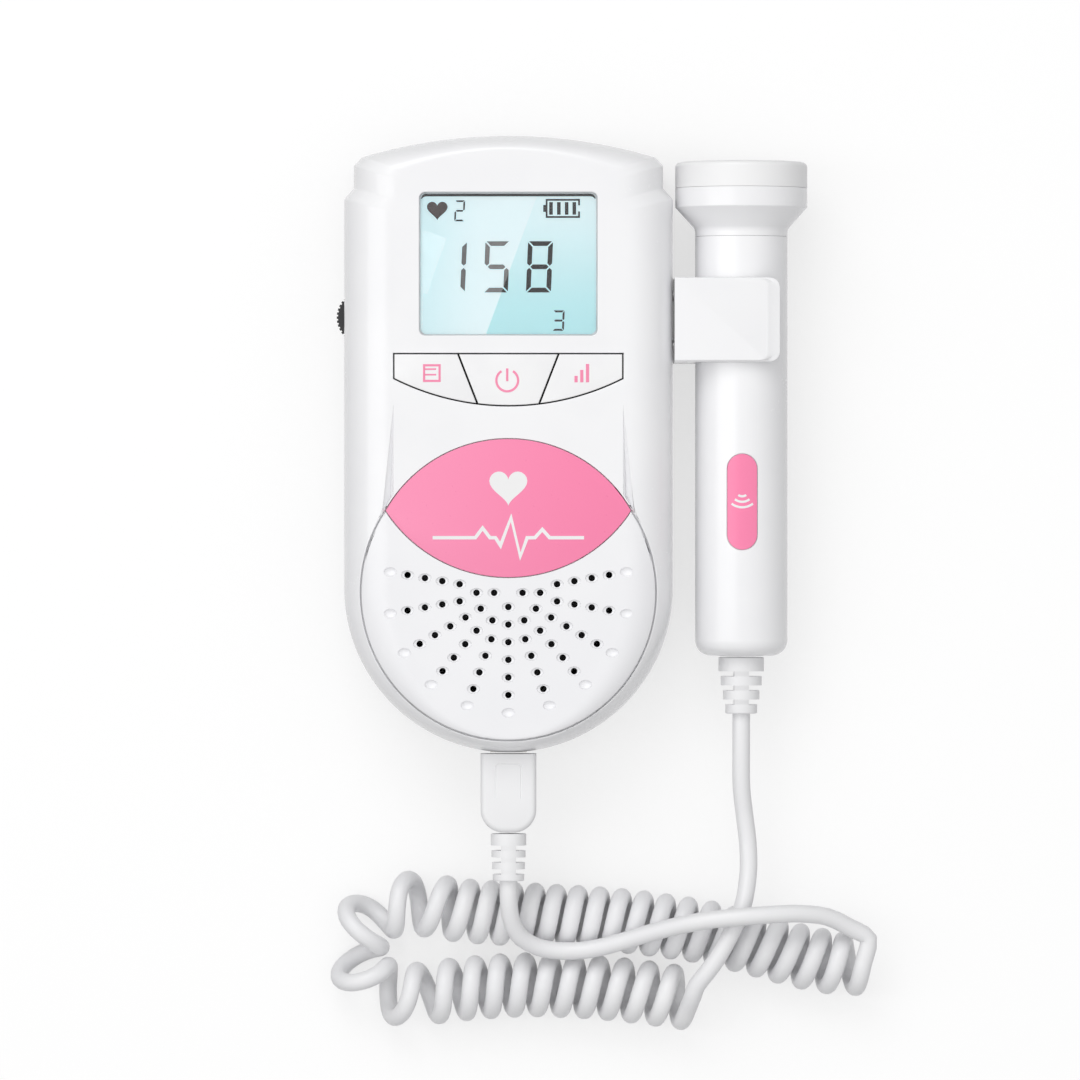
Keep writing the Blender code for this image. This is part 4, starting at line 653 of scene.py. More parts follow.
def cover_room(name, grow):
    """The L-shaped room of the battery cover, along the back and up the bottom end."""
    low = -CASE_LENGTH / 2 - OVERRUN
    high = COVER_EDGE_Y + grow
    lip = -CASE_LENGTH / 2 + COVER_LIP_DEPTH + grow
    floor = WALL + grow
    top = COVER_LIP_HEIGHT + grow
    under = -OVERRUN
    outline = [(low, under), (high, under), (high, floor), (lip, floor), (lip, top), (low, top)]
    half = BAY_HALF_WIDTH - GAP + grow
    return laid(plate(name, outline, -half, half), (0, 0, 1), (1, 0, 0), (0, 1, 0))


case_white = moulded("case_white", *CASE_TONES, 0.20, Coat_Weight=0.25, Coat_Roughness=0.12)
back_white = moulded("back_white", (0.86, 0.86, 0.875), (0.835, 0.835, 0.85), 0.30, 0.0005, 0.00001)

bay = block(
    "bay_block",
    (-BAY_HALF_WIDTH - BAY_WALL, BAY_LOW_Y - BAY_WALL, WALL / 2),
    (BAY_HALF_WIDTH + BAY_WALL, BAY_HIGH_Y + BAY_WALL, BAY_ROOF + BAY_WALL),
)
limit = case_outline(WALL + GAP)
carve(bay, plate("bay_limit", limit, 0, CASE_DEPTH), operation="INTERSECT")
back = back_skin("case_back")
posts = rods("screw_posts", POST_PLACES, BACK_POST_RADIUS, WALL / 2, PARTING - GAP / 2)
carve(back, bay, posts, operation="UNION")
screw_seat = SCREW_SUNK + SCREW_HEAD_HEIGHT + GAP
carve(
    back,
    block("bay_hollow", (-BAY_HALF_WIDTH, BAY_LOW_Y, WALL), (BAY_HALF_WIDTH, BAY_HIGH_Y, BAY_ROOF)),
    cover_room("cover_opening", GAP),
    rods("screw_wells", POST_PLACES, SCREW_HEAD_RADIUS + GAP, -OVERRUN, screw_seat),
    rods("screw_holes", POST_PLACES, SCREW_RADIUS + GAP, screw_seat - GAP, PARTING + OVERRUN),
)
fit(back, back_white, "main_unit", "housing_white", "back_shell")


# Batteries and their springs: two AA cells in a printed foil wrap, head to tail, between
# nickel-plated contacts. Each spring is wound from 0.7 mm wire into a cone.
CELL_RADIUS = 0.0071
CELL_LENGTH = 0.0495
CELL_NUB_RADIUS = 0.0027
CELL_NUB_LENGTH = 0.001
CELL_EDGE = 0.0006
CELL_X = 0.0075
CELL_Z = 0.0096
CELL_END_ROOM = 0.0058
SPRING_FOOT = 0.001
SPRING_WIRE = 0.0007
SPRING_LENGTH = 0.0038
SPRING_WIDE_RADIUS = 0.0042
SPRING_NARROW_RADIUS = 0.0026
SPRING_TURNS = 4
WRAP_BAND = (-0.022, -0.0215)


def turned(name, profile, origin, axis="Z", sides=64, ring=False):
    """A profile of (radius, height) points turned about an axis, where points on it are poles."""
    ahead, across, up = {
        "Y": (Vector((0, 1, 0)), Vector((0, 0, 1)), Vector((1, 0, 0))),
        "Z": (Vector((0, 0, 1)), Vector((1, 0, 0)), Vector((0, 1, 0))),
    }[axis]
    shape = bmesh.new()
    rings = []
    for radius, height in profile:
        middle = Vector(origin) + ahead * height
        if radius == 0:
            rings.append([shape.verts.new(middle)] * sides)
            continue
        angles = [2 * math.pi * i / sides for i in range(sides)]
        spots = [middle + radius * (across * math.cos(a) + up * math.sin(a)) for a in angles]
        rings.append([shape.verts.new(spot) for spot in spots])
    pairs = list(zip(rings, rings[1:]))
    if ring:
        pairs.append((rings[-1], rings[0]))
    for low, high in pairs:
        for i in range(sides):
            j = (i + 1) % sides
            corners = list(dict.fromkeys((low[i], low[j], high[j], high[i])))
            if len(corners) > 2:
                shape.faces.new(corners)
    return made(name, shape)


def dress(node, finish):
    """Gives a solid that stays as it is a real finish."""
    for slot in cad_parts[node].material_slots:
        slot.material = finish


class Pattern(Nodes):
    """Geometry Nodes with named sizes that make one repeated or wound form."""

    def __init__(self, name, **sizes):
        super().__init__(bpy.data.node_groups.new(name, "GeometryNodeTree"))
        face = self.tree.interface
        face.new_socket(name="Geometry", in_out="INPUT", socket_type="NodeSocketGeometry")
        face.new_socket(name="Geometry", in_out="OUTPUT", socket_type="NodeSocketGeometry")
        entry = self.tree.nodes.new("NodeGroupInput")
        self.values = {}
        self.size = {}
        for label, value in sizes.items():
            kind = "NodeSocketInt" if isinstance(value, int) else "NodeSocketFloat"
            socket = face.new_socket(name=label, in_out="INPUT", socket_type=kind)
            self.values[socket.identifier] = value
        for label, output in zip(sizes, entry.outputs[1:]):
            self.size[label] = Amount(self.tree, output)
        self.base = Amount(self.tree, entry.outputs[0])

    def vector(self, x, y, z):
        """Three sizes as one."""
        return self.node("ShaderNodeCombineXYZ", 0, {"X": x, "Y": y, "Z": z})

    def copies(self, points, form, **more):
        """The form at every one of the points."""
        sockets = {"Points": points, "Instance": form, **more}
        return self.node("GeometryNodeInstanceOnPoints", 0, sockets)

    def grow(self, name, form, finish, spots=((0, 0, 0),)):
        """The plain mesh that the tree makes on a piece whose mesh is these spots."""
        real = self.node("GeometryNodeRealizeInstances", 0, {0: form})
        painted = self.node("GeometryNodeSetMaterial", 0, {"Geometry": real, "Material": finish})
        leave = self.tree.nodes.new("NodeGroupOutput")
        self.tree.links.new(painted.socket, leave.inputs[0])
        mesh = bpy.data.meshes.new(name)
        mesh.from_pydata(spots, [], [])
        piece = added(name, mesh)
        step = piece.modifiers.new(name, "NODES")
        step.node_group = self.tree
        for identifier, value in self.values.items():
            step[identifier] = value
        return settled(piece)


def metal(name, colour, gloss, brushed=0.0002, shade=0.85):
    """Plated metal with fine drawn lines."""
    finish = Finish(name)
    lines = finish.noise(brushed, 3)
    return finish.set(
        Base_Color=finish.blend(lines, (*colour, 1), (*[c * shade for c in colour], 1)),
        Roughness=gloss + 0.12 * lines,
        Metallic=1.0,
        Normal=finish.relief(lines, 0.000003),
    )


nickel = metal("contact_nickel", (0.72, 0.71, 0.68), 0.22)
wrap = Finish("cell_wrap")
band = wrap.ramp(wrap.axes(wrap.place)[1], *WRAP_BAND)
cell_foil = wrap.set(
    Base_Color=wrap.blend(band, (0.055, 0.06, 0.07, 1), (0.16, 0.17, 0.18, 1)),
    Roughness=0.28 + 0.1 * wrap.noise(0.004),
    Metallic=0.65,
)
cell_profile = [
    (0, CELL_LENGTH + CELL_NUB_LENGTH),
    (CELL_NUB_RADIUS - CELL_EDGE / 2, CELL_LENGTH + CELL_NUB_LENGTH),
    (CELL_NUB_RADIUS, CELL_LENGTH + CELL_NUB_LENGTH - CELL_EDGE / 2),
    (CELL_NUB_RADIUS, CELL_LENGTH),
    (CELL_RADIUS - CELL_EDGE, CELL_LENGTH),
    (CELL_RADIUS, CELL_LENGTH - CELL_EDGE),
    (CELL_RADIUS, CELL_EDGE),
    (CELL_RADIUS - CELL_EDGE, 0),
    (0, 0),
]
first_cell = turned("cell_left", cell_profile, (-CELL_X, BAY_LOW_Y + CELL_END_ROOM, CELL_Z), "Y")
fit(first_cell, cell_foil, "main_unit", "cell_wrap", "battery_1")
far_profile = [(radius, -height) for radius, height in cell_profile]
second_cell = turned("cell_right", far_profile, (CELL_X, BAY_HIGH_Y - CELL_END_ROOM, CELL_Z), "Y")
fit(second_cell, cell_foil, "main_unit", "cell_wrap", "battery_2")


def cone_spring(name, node, x, foot_y, heading):
    """A spring that narrows away from its foot, which stands on the contact."""
    sizes = {"wide": SPRING_WIDE_RADIUS, "narrow": SPRING_NARROW_RADIUS, "wire": SPRING_WIRE / 2}
    form = Pattern(name + "_winding", **sizes)
    winding = form.node(
        "GeometryNodeCurveSpiral",
        0,
        {
            "Resolution": 40,
            "Rotations": float(SPRING_TURNS),
            "Start Radius": form.size["wide"],
            "End Radius": form.size["narrow"],
            "Height": SPRING_LENGTH,
        },
    )
    circle = {"Resolution": 10, "Radius": form.size["wire"]}
    wire = form.node("GeometryNodeCurvePrimitiveCircle", 0, circle)
    sweep = {"Curve": winding, "Profile Curve": wire, "Fill Caps": True}
    spring = form.grow(name, form.node("GeometryNodeCurveToMesh", 0, sweep), nickel)
    stand = Matrix.Rotation(-math.pi / 2 * heading, 4, "X")
    spring.data.transform(Matrix.Translation((x, foot_y, CELL_Z)) @ stand)
    fit(spring, nickel, "main_unit", "contact_metal", node)


spring_stand = SPRING_FOOT + SPRING_WIRE / 2
cone_spring("spring_left", "battery_spring_lower", -CELL_X, BAY_LOW_Y + spring_stand, 1)
cone_spring("spring_right", "battery_spring_upper", CELL_X, BAY_HIGH_Y - spring_stand, -1)
for node in ("battery_bridge", "battery_contact_positive", "battery_contact_negative"):
    dress(node, nickel)


# Main board with its parts: green glass-fibre board, black key switches, the potentiometer
# under the wheel and the plated socket for the lead. They are soldered on and stay inside.
lacquer = Finish("board_lacquer")
bricks = {"Vector": lacquer.place, "Scale": 240.0, "Mortar Size": 0.03}
tracks = lacquer.node("ShaderNodeTexBrick", "Fac", bricks)
board_green = lacquer.set(
    Base_Color=lacquer.blend(tracks, (0.02, 0.17, 0.07, 1), (0.05, 0.30, 0.13, 1)),
    Roughness=0.35 + 0.1 * lacquer.noise(0.002),
)
part_black = moulded("part_black", (0.03, 0.03, 0.032), (0.022, 0.022, 0.025), 0.38)
for node in ("main_board", "probe_board"):
    dress(node, board_green)
for node in ("switch_menu", "switch_power", "switch_mode", "volume_potentiometer"):
    dress(node, part_black)
dress("probe_socket", nickel)


# Speaker: a pressed steel basket with a paper cone and a magnet, behind a black dust cloth.
# It is clamped behind the grille panel.
steel = metal("basket_steel", (0.38, 0.39, 0.41), 0.3)
cone_paper = moulded("cone_paper", (0.05, 0.05, 0.05), (0.035, 0.035, 0.035), 0.75, 0.0008, 0.00003)
cloth = Finish("dust_cloth")
threads = cloth.node("ShaderNodeTexChecker", "Fac", {"Vector": cloth.place, "Scale": 2600.0})
dust_cloth = cloth.set(
    Base_Color=cloth.blend(threads, (0.010, 0.010, 0.011, 1), (0.022, 0.022, 0.024, 1)),
    Roughness=0.85 + 0.1 * threads,
    Normal=cloth.relief(threads, 0.00003),
)
dress("speaker_basket", steel)
dress("speaker_magnet", steel)
dress("speaker_cone", cone_paper)
dress("speaker_cloth", dust_cloth)


# Volume wheel: a black nylon disc with a knurled rim, pressed on the potentiometer's shaft.
# Its outer edge stands out of the slot in the left side.
WHEEL_X = -0.03185
WHEEL_Y = 0.0278
WHEEL_LOW = 0.0169
WHEEL_HIGH = 0.0195
WHEEL_RADIUS = 0.00585
WHEEL_BORE = 0.0018
KNURL_COUNT = 40
KNURL_DEPTH = 0.00028
KNURL_WIDTH = 0.0005


def moved(piece, x, y, z):
    """Moves a piece's mesh."""
    piece.data.transform(Matrix.Translation((x, y, z)))
    return piece


wheel_core = WHEEL_RADIUS - KNURL_DEPTH
wheel = turned(
    "volume_thumbwheel",
    [
        (WHEEL_BORE, WHEEL_LOW),
        (wheel_core - KNURL_DEPTH, WHEEL_LOW),
        (wheel_core, WHEEL_LOW + KNURL_DEPTH),
        (wheel_core, WHEEL_HIGH - KNURL_DEPTH),
        (wheel_core - KNURL_DEPTH, WHEEL_HIGH),
        (WHEEL_BORE, WHEEL_HIGH),
    ],
    (WHEEL_X, WHEEL_Y, 0),
    sides=80,
    ring=True,
)
ridge_height = WHEEL_HIGH - WHEEL_LOW - 2 * KNURL_DEPTH
knurl = Pattern("knurl", count=KNURL_COUNT, radius=wheel_core, height=ridge_height)
circle = {"Vertices": knurl.size["count"], "Radius": knurl.size["radius"]}
rim = knurl.node("GeometryNodeMeshCircle", 0, circle)
size = knurl.vector(2 * KNURL_DEPTH, KNURL_WIDTH, knurl.size["height"])
ridge = knurl.node("GeometryNodeMeshCube", 0, {"Size": size})
place = knurl.node("GeometryNodeInputPosition", 0, {})
turn = knurl.node("FunctionNodeAlignRotationToVector", 0, {"Vector": place}, axis="X")
teeth = knurl.grow("wheel_ridges", knurl.copies(rim, ridge, Rotation=turn), part_black)
moved(teeth, WHEEL_X, WHEEL_Y, (WHEEL_LOW + WHEEL_HIGH) / 2)
wheel_black = moulded("wheel_black", (0.020, 0.020, 0.022), (0.014, 0.014, 0.016), 0.42)
fit(teeth, wheel_black, "wheel", "plastic_black")
fit(wheel, wheel_black, "wheel", "plastic_black", "volume_wheel")


# Headphone socket: a black moulded body that is soldered to the board behind the top end. Its
# nose looks out of a round hole there, with a plated sleeve inside.
JACK_X = 0.015
JACK_Z = 0.0193
JACK_NOSE_RADIUS = 0.0027
JACK_BORE_RADIUS = 0.0018
JACK_FACE_Y = 0.06609
JACK_DEPTH = 0.0100
JACK_SLEEVE = 0.00035
dress("headphone_jack", part_black)
sleeve = turned(
    "jack_sleeve",
    [
        (JACK_BORE_RADIUS - JACK_SLEEVE, -JACK_DEPTH / 2),
        (JACK_BORE_RADIUS - JACK_SLEEVE, 0),
        (JACK_BORE_RADIUS - JACK_SLEEVE / 4, -JACK_SLEEVE / 4),
        (JACK_BORE_RADIUS - JACK_SLEEVE / 4, -JACK_DEPTH / 2),
    ],
    (JACK_X, JACK_FACE_Y - JACK_SLEEVE, JACK_Z),
    "Y",
    sides=40,
    ring=True,
)
fit(sleeve, nickel, "main_unit", "contact_metal")


# Front half of the case: glossy white ABS, moulded with the window's pocket, the keys' opening
# and the round seat of the grille panel. A short hollow falls away beside the label's tips.
SIDE_ROUND_WIDTH = 0.010
END_ROUND_WIDTH = 0.0035
FRONT_ROUND_HEIGHT = 0.011
FRONT_WALL = 0.0026
EDGE_EASE = 0.00025
SLIVER = 0.00012
POST_RADIUS = 0.003
PILOT_END = 0.0186
WINDOW_WIDTH = 0.0382
WINDOW_HEIGHT = 0.0306
WINDOW_Y = 0.0392
WINDOW_CORNER = 0.0013
WINDOW_LEDGE = 0.0012
WINDOW_SEAT = 0.0310
KEY_PANEL_WIDTH = 0.050
KEY_HOLE_ROOM = 0.0001
KEY_TOP_Y = 0.01965
KEY_SIDE_HEIGHT = 0.0055
KEY_BOTTOM_Y = 0.0082
PANEL_RADIUS = 0.0321
PANEL_Y = -0.0325
LABEL_HALF_WIDTH = 0.0267
LABEL_TIP_Y = -0.0146
LABEL_UP = 0.0156
LABEL_DOWN = 0.0145
LABEL_LOW = 0.0322
LABEL_ROOM = 0.0002
PLUG_Z = 0.0216
TONGUE_WIDTH = 0.0080
TONGUE_HEIGHT = 0.0030
PROBE_Z = 0.017
CLIP_SCREW_PLACES = (0.02165, 0.03265)
CLIP_HOLE_SPAN = (0.0318, 0.040)
WHEEL_ROOM = 0.0005
JACK_HOLE_SPAN = (0.0627, 0.07)
HOLLOW_X = 0.0250
HOLLOW_TOP_Y = 0.0085
HOLLOW_LOW_Y = -0.0150
HOLLOW_WIDTH = 0.0025
HOLLOW_DEPTH = 0.0024
HOLLOW_RIM = 0.0005
HOLLOW_START = 0.02
HOLLOW_SLOPE = 0.3


def opening(name, outline, low, face, edge=EDGE_EASE):
    """A cutter for an opening whose mouth flares in a small round at the face."""
    mouth = round_edge(outline, face, edge, -1)
    return loft(name, [(outline, low), *mouth, (inset(outline, -edge), face + OVERRUN)])


def ease(piece, width, chosen=lambda spot: True, segments=3, least=math.radians(40)):
    """Rounds off a piece's sharp edges whose middle is chosen, and takes out slivers among them."""
    shape = bmesh.new()
    shape.from_mesh(piece.data)
    near = [edge for edge in shape.edges if chosen((edge.verts[0].co + edge.verts[1].co) / 2)]
    short = [edge for edge in near if edge.calc_length() < SLIVER]
    bmesh.ops.dissolve_degenerate(shape, dist=SLIVER, edges=short)
    edges = []
    for edge in shape.edges:
        bent = len(edge.link_faces) == 2 and edge.calc_face_angle(0) > least
        if bent and chosen((edge.verts[0].co + edge.verts[1].co) / 2):
            edges.append(edge)
    rounding = {"offset": width, "segments": segments, "profile": 0.5}
    bmesh.ops.bevel(shape, geom=edges, affect="EDGES", clamp_overlap=False, **rounding)
    shape.to_mesh(piece.data)
    shape.free()
    piece.data.set_sharp_from_angle(angle=SHARP_ANGLE)


def evened(piece):
    """Lets broad faces keep their own shading right up to their edges."""
    step = piece.modifiers.new("even", "WEIGHTED_NORMAL")
    step.keep_sharp = True
    step.weight = 100
    return baked(piece)


def front_form(name, inward, foot, face):
    """The front half's rounded form, as far inwards of the outside as asked."""
    side = CASE_DEPTH - FRONT_ROUND_HEIGHT
    widths = (SIDE_ROUND_WIDTH, END_ROUND_WIDTH)
    return rounded_half(name, case_outline(inward), foot, side, face, *widths)


def front_skin(name):
    """The front half's wall, following its rounded outside."""
    foot = PARTING + GAP / 2
    outside = front_form(name, 0.0, foot, CASE_DEPTH)
    hollow = front_form(name + "_hollow", WALL, foot - OVERRUN, CASE_DEPTH - FRONT_WALL)
    return carve(outside, hollow)


def window_shape(grow=0.0, steps=8):
    """The window's outline, or one that lies a little outside it."""
    width = WINDOW_WIDTH + 2 * grow
    height = WINDOW_HEIGHT + 2 * grow
    outline = []
    for number, (sx, sy) in enumerate(((1, 1), (-1, 1), (-1, -1), (1, -1))):
        middle = (sx * (width / 2 - WINDOW_CORNER), WINDOW_Y + sy * (height / 2 - WINDOW_CORNER))
        outline += arc(middle, WINDOW_CORNER, 90 * number, 90 * number + 90, steps)
    return outline


def panel_circle(radius, sides=144):
    """A circle about the grille panel's middle."""
    return arc((0, PANEL_Y), radius, 0, 360 - 360 / sides, sides - 1)


def on_panel_circle(radius):
    """A test for spots on the upper end of a circle about the grille panel's middle."""

    def test(spot):
        away = math.hypot(spot.x, spot.y - PANEL_Y)
        return abs(away - radius) < GAP / 10 and spot.z > CASE_DEPTH - FRONT_ROUND_HEIGHT / 2

    return test


def arc_radius(half, rise):
    """An arc's radius from half its chord and its rise."""
    return (half**2 + rise**2) / (2 * rise)


def lens_outline(grow=0.0, steps=48):
    """The label's outline: an upper and a lower arc that meet in two tips."""
    outline = []
    for rise, turn in ((LABEL_DOWN, 1), (LABEL_UP, -1)):
        radius = arc_radius(LABEL_HALF_WIDTH, rise)
        spread = math.degrees(math.asin(LABEL_HALF_WIDTH / radius))
        middle = LABEL_TIP_Y - turn * (rise - radius)
        start = -turn * 90 - spread
        outline += arc((0, middle), radius + grow, start, start + 2 * spread, steps)[:-1]
    return outline


def label_recess(name):
    """A cutter for the label's recess."""
    return opening(name, lens_outline(LABEL_ROOM), LABEL_LOW - GAP, CASE_DEPTH, LABEL_ROOM / 2)


def panel_bottom(x):
    """Height of the key panel's curved lower edge at x."""
    radius = arc_radius(KEY_PANEL_WIDTH / 2, KEY_TOP_Y - KEY_SIDE_HEIGHT - KEY_BOTTOM_Y)
    return KEY_BOTTOM_Y + radius - math.sqrt(radius**2 - x**2)


def key_outline(left, right, steps=18):
    """A key between two edges, each given as (top x, bottom x)."""
    lower = [left[1] + (right[1] - left[1]) * i / steps for i in range(steps + 1)]
    return [(x, panel_bottom(x)) for x in lower] + [(right[0], KEY_TOP_Y), (left[0], KEY_TOP_Y)]


def side_hollow(name, side):
    """The wedge cut beside a tip of the label, which falls away to a plumb inner wall."""
    levels = []
    for share, y in ((HOLLOW_START, HOLLOW_TOP_Y), (1.0, HOLLOW_LOW_Y)):
        width = HOLLOW_WIDTH * share
        slope = (width * HOLLOW_SLOPE, -HOLLOW_DEPTH * share)
        section = [(0, OVERRUN), (0, 0), slope, (width, 0), (width, OVERRUN)]
        levels.append(([(HOLLOW_X + x, CASE_DEPTH + z) for x, z in section], -y))
    wedge = laid(loft(name, levels), (side, 0, 0), (0, 0, -1), (0, 1, 0))
    low = LABEL_LOW - 2 * HOLLOW_DEPTH
    high = CASE_DEPTH + 2 * OVERRUN
    return carve(wedge, plate(name + "_end", lens_outline(HOLLOW_RIM), low, high))


front = front_skin("case_front")
tubes = rods("post_tubes", POST_PLACES, POST_RADIUS, PARTING + GAP / 2, CASE_DEPTH - FRONT_WALL)
core = front_form("post_limit", WALL / 2, PARTING - OVERRUN, CASE_DEPTH - FRONT_WALL / 2)
carve(tubes, core, operation="INTERSECT")
carve(front, tubes, operation="UNION")
sight_x = WINDOW_WIDTH / 2 - WINDOW_LEDGE
sight_y = WINDOW_HEIGHT / 2 - WINDOW_LEDGE
panel_side = KEY_PANEL_WIDTH / 2
key_panel = key_outline((-panel_side, -panel_side), (panel_side, panel_side), 36)
key_hole = inset(key_panel, -KEY_HOLE_ROOM)
through = CASE_DEPTH - FRONT_WALL - OVERRUN
seat_low = CASE_DEPTH - FRONT_ROUND_HEIGHT + GAP
carve(
    front,
    opening("window_pocket", window_shape(GAP), WINDOW_SEAT, CASE_DEPTH),
    block(
        "sight_opening",
        (-sight_x, WINDOW_Y - sight_y, through),
        (sight_x, WINDOW_Y + sight_y, WINDOW_SEAT + GAP),
    ),
    opening("key_opening", key_hole, through, CASE_DEPTH),
    plate("grille_seat", panel_circle(PANEL_RADIUS + GAP), seat_low, CASE_DEPTH + OVERRUN),
    label_recess("label_recess"),
    side_hollow("left_hollow", -1),
    side_hollow("right_hollow", 1),
    rods("pilot_holes", POST_PLACES, SCREW_RADIUS + GAP, PARTING - OVERRUN, PILOT_END),
)
slot_half = WHEEL_RADIUS + WHEEL_ROOM
nose = JACK_NOSE_RADIUS + GAP
jack_low, jack_high = JACK_HOLE_SPAN
jack_hole = [(0, jack_low), (nose, jack_low), (nose, jack_high), (0, jack_high)]
clip_screws = [(PROBE_Z, y) for y in CLIP_SCREW_PLACES]
clip_holes = rods("clip_screw_holes", clip_screws, SCREW_RADIUS + GAP, *CLIP_HOLE_SPAN)
carve(
    front,
    block(
        "wheel_slot",
        (-CASE_WIDTH / 2 - OVERRUN, WHEEL_Y - slot_half, WHEEL_LOW - WHEEL_ROOM),
        (-CASE_WIDTH / 2 + WALL + OVERRUN / 2, WHEEL_Y + slot_half, WHEEL_HIGH + WHEEL_ROOM),
    ),
    turned("jack_hole", jack_hole, (JACK_X, 0, JACK_Z), "Y", 40),
    block(
        "plug_opening",
        (-TONGUE_WIDTH / 2 - GAP, -CASE_LENGTH / 2 - OVERRUN, PLUG_Z - TONGUE_HEIGHT / 2 - GAP),
        (TONGUE_WIDTH / 2 + GAP, -CASE_LENGTH / 2 + 2 * WALL, PLUG_Z + TONGUE_HEIGHT / 2 + GAP),
    ),
    laid(clip_holes, (0, 0, 1), (0, 1, 0), (1, 0, 0)),
)
ease(front, EDGE_EASE, on_panel_circle(PANEL_RADIUS + GAP))
fit(evened(front), case_white, "main_unit", "housing_white", "front_shell")


# Grille panel: a round cap of the same white ABS, snapped into its seat over the speaker.
# Spokes of holes, each in a shallow dish, fan out below the label, and the last ring is blind.
LEDGE_DROP = 0.0010
HOLE_RADIUS = 0.00072
DISH_RADIUS = 0.00145
DISH_DEPTH = 0.0007
DISH_OVAL = 0.72
HOLE_FIRST_RING = 0.0031
HOLE_RING_STEP = 0.00384
HOLE_RINGS = 7
HOLE_RING_SPOKES = ((90, 1), (30, 3), (20, 5))
GRILLE_TONES = ((0.905, 0.905, 0.922), (0.885, 0.885, 0.905))


def clears_label(x, y):
    """Whether a dish at this place would stay clear of the label."""
    radius = arc_radius(LABEL_HALF_WIDTH, LABEL_DOWN)
    middle = LABEL_TIP_Y - LABEL_DOWN + radius
    return math.hypot(x, y - middle) > radius + DISH_RADIUS + GAP


holes = []
blind = []
for ring in range(HOLE_RINGS):
    away = HOLE_FIRST_RING + ring * HOLE_RING_STEP
    step, spokes = HOLE_RING_SPOKES[min(ring, len(HOLE_RING_SPOKES) - 1)]
    for spoke in range(-spokes, spokes + 1):
        angle = math.radians(step * spoke)
        spot = (away * math.sin(angle), PANEL_Y - away * math.cos(angle), CASE_DEPTH)
        if ring == HOLE_RINGS - 1:
            blind.append(spot)
        elif clears_label(spot[0], spot[1]):
            holes.append(spot)

dishes = Pattern("dishes", width=DISH_RADIUS, height=DISH_RADIUS * DISH_OVAL, depth=DISH_DEPTH)
bowl = dishes.node("GeometryNodeMeshUVSphere", 0, {"Segments": 24, "Rings": 12, "Radius": 1.0})
oval = dishes.vector(dishes.size["width"], dishes.size["height"], dishes.size["depth"])
bowls = dishes.copies(dishes.base, bowl, Scale=oval)
dish_cutter = dishes.grow("dish_cutter", bowls, case_white, holes + blind)

bores = Pattern("bores", radius=HOLE_RADIUS, depth=4 * FRONT_WALL)
pin_sizes = {"Vertices": 20, "Radius": bores.size["radius"], "Depth": bores.size["depth"]}
pins = bores.copies(bores.base, bores.node("GeometryNodeMeshCylinder", 0, pin_sizes))
bore_cutter = bores.grow("bore_cutter", pins, case_white, holes)

grille = front_skin("grille_cap")
disc_low = CASE_DEPTH - FRONT_ROUND_HEIGHT + 2 * GAP
disc = plate("grille_disc", panel_circle(PANEL_RADIUS), disc_low, CASE_DEPTH + OVERRUN)
carve(grille, disc, operation="INTERSECT")
carve(grille, label_recess("panel_label_recess"), dish_cutter, bore_cutter)
ease(grille, EDGE_EASE, on_panel_circle(PANEL_RADIUS))
grille_white = moulded("grille_white", *GRILLE_TONES, 0.24, Coat_Weight=0.2, Coat_Roughness=0.15)
fit(evened(grille), grille_white, "main_unit", "housing_white", "grille_panel")

# The case's ledge under the joint, so that it reads as a shallow groove
ledge = moved(front_skin("grille_ledge"), 0, 0, -LEDGE_DROP)
outer_circle = panel_circle(PANEL_RADIUS + 2 * GAP)
inner_circle = panel_circle(PANEL_RADIUS + GAP / 6)
carve(ledge, plate("ledge_outer", outer_circle, disc_low + GAP, CASE_DEPTH), operation="INTERSECT")
carve(ledge, plate("ledge_inner", inner_circle, disc_low - GAP, CASE_DEPTH + OVERRUN))
carve(ledge, plate("ledge_label", lens_outline(GAP), LABEL_LOW - 2 * GAP, CASE_DEPTH + OVERRUN))
fit(ledge, case_white, "main_unit", "housing_white")


# Label: a pink plate of printed polycarbonate, glued flush in its own recess across the panel
# and the case. A plain heart over a pulse trace is printed on it in white.
PRINT_RISE = 0.00003
LABEL_HEART = ((0, -0.0098), 0.0044)
LABEL_STROKE = 0.00075
STROKE_MITRE = 0.4
LABEL_TOP = 0.0331
LABEL_EDGE = 0.00012
LABEL_FADE = (-0.027, 0.027)
LABEL_TRACE = (
    (-0.0165, -0.0205), (-0.0072, -0.0205), (-0.0056, -0.0184), (-0.0040, -0.0205),
    (-0.0028, -0.0205), (-0.0017, -0.0222), (0.0006, -0.0161), (0.0026, -0.0246), (0.0041, -0.0205),
    (0.0058, -0.0205), (0.0074, -0.0187), (0.0090, -0.0205), (0.0165, -0.0205),
)


def sheet(name, outlines, low, high):
    """Flat shapes of one thickness in one mesh, such as a printed ink."""
    shape = bmesh.new()
    for outline in outlines:
        lower = [shape.verts.new((x, y, low)) for x, y in outline]
        upper = [shape.verts.new((x, y, high)) for x, y in outline]
        shape.faces.new(reversed(lower))
        shape.faces.new(upper)
        for i in range(len(outline)):
            j = (i + 1) % len(outline)
            shape.faces.new((lower[i], lower[j], upper[j], upper[i]))
    return made(name, shape)


def heart(middle, size, steps=40):
    """A heart's outline, anticlockwise."""
    path = []
    for i in range(steps):
        t = 2 * math.pi * i / steps
        x = 16 * math.sin(t) ** 3
        y = 13 * math.cos(t) - 5 * math.cos(2 * t) - 2 * math.cos(3 * t) - math.cos(4 * t)
        path.append((middle[0] - x * size / 17, middle[1] + (y + 2.5) * size / 17))
    return path


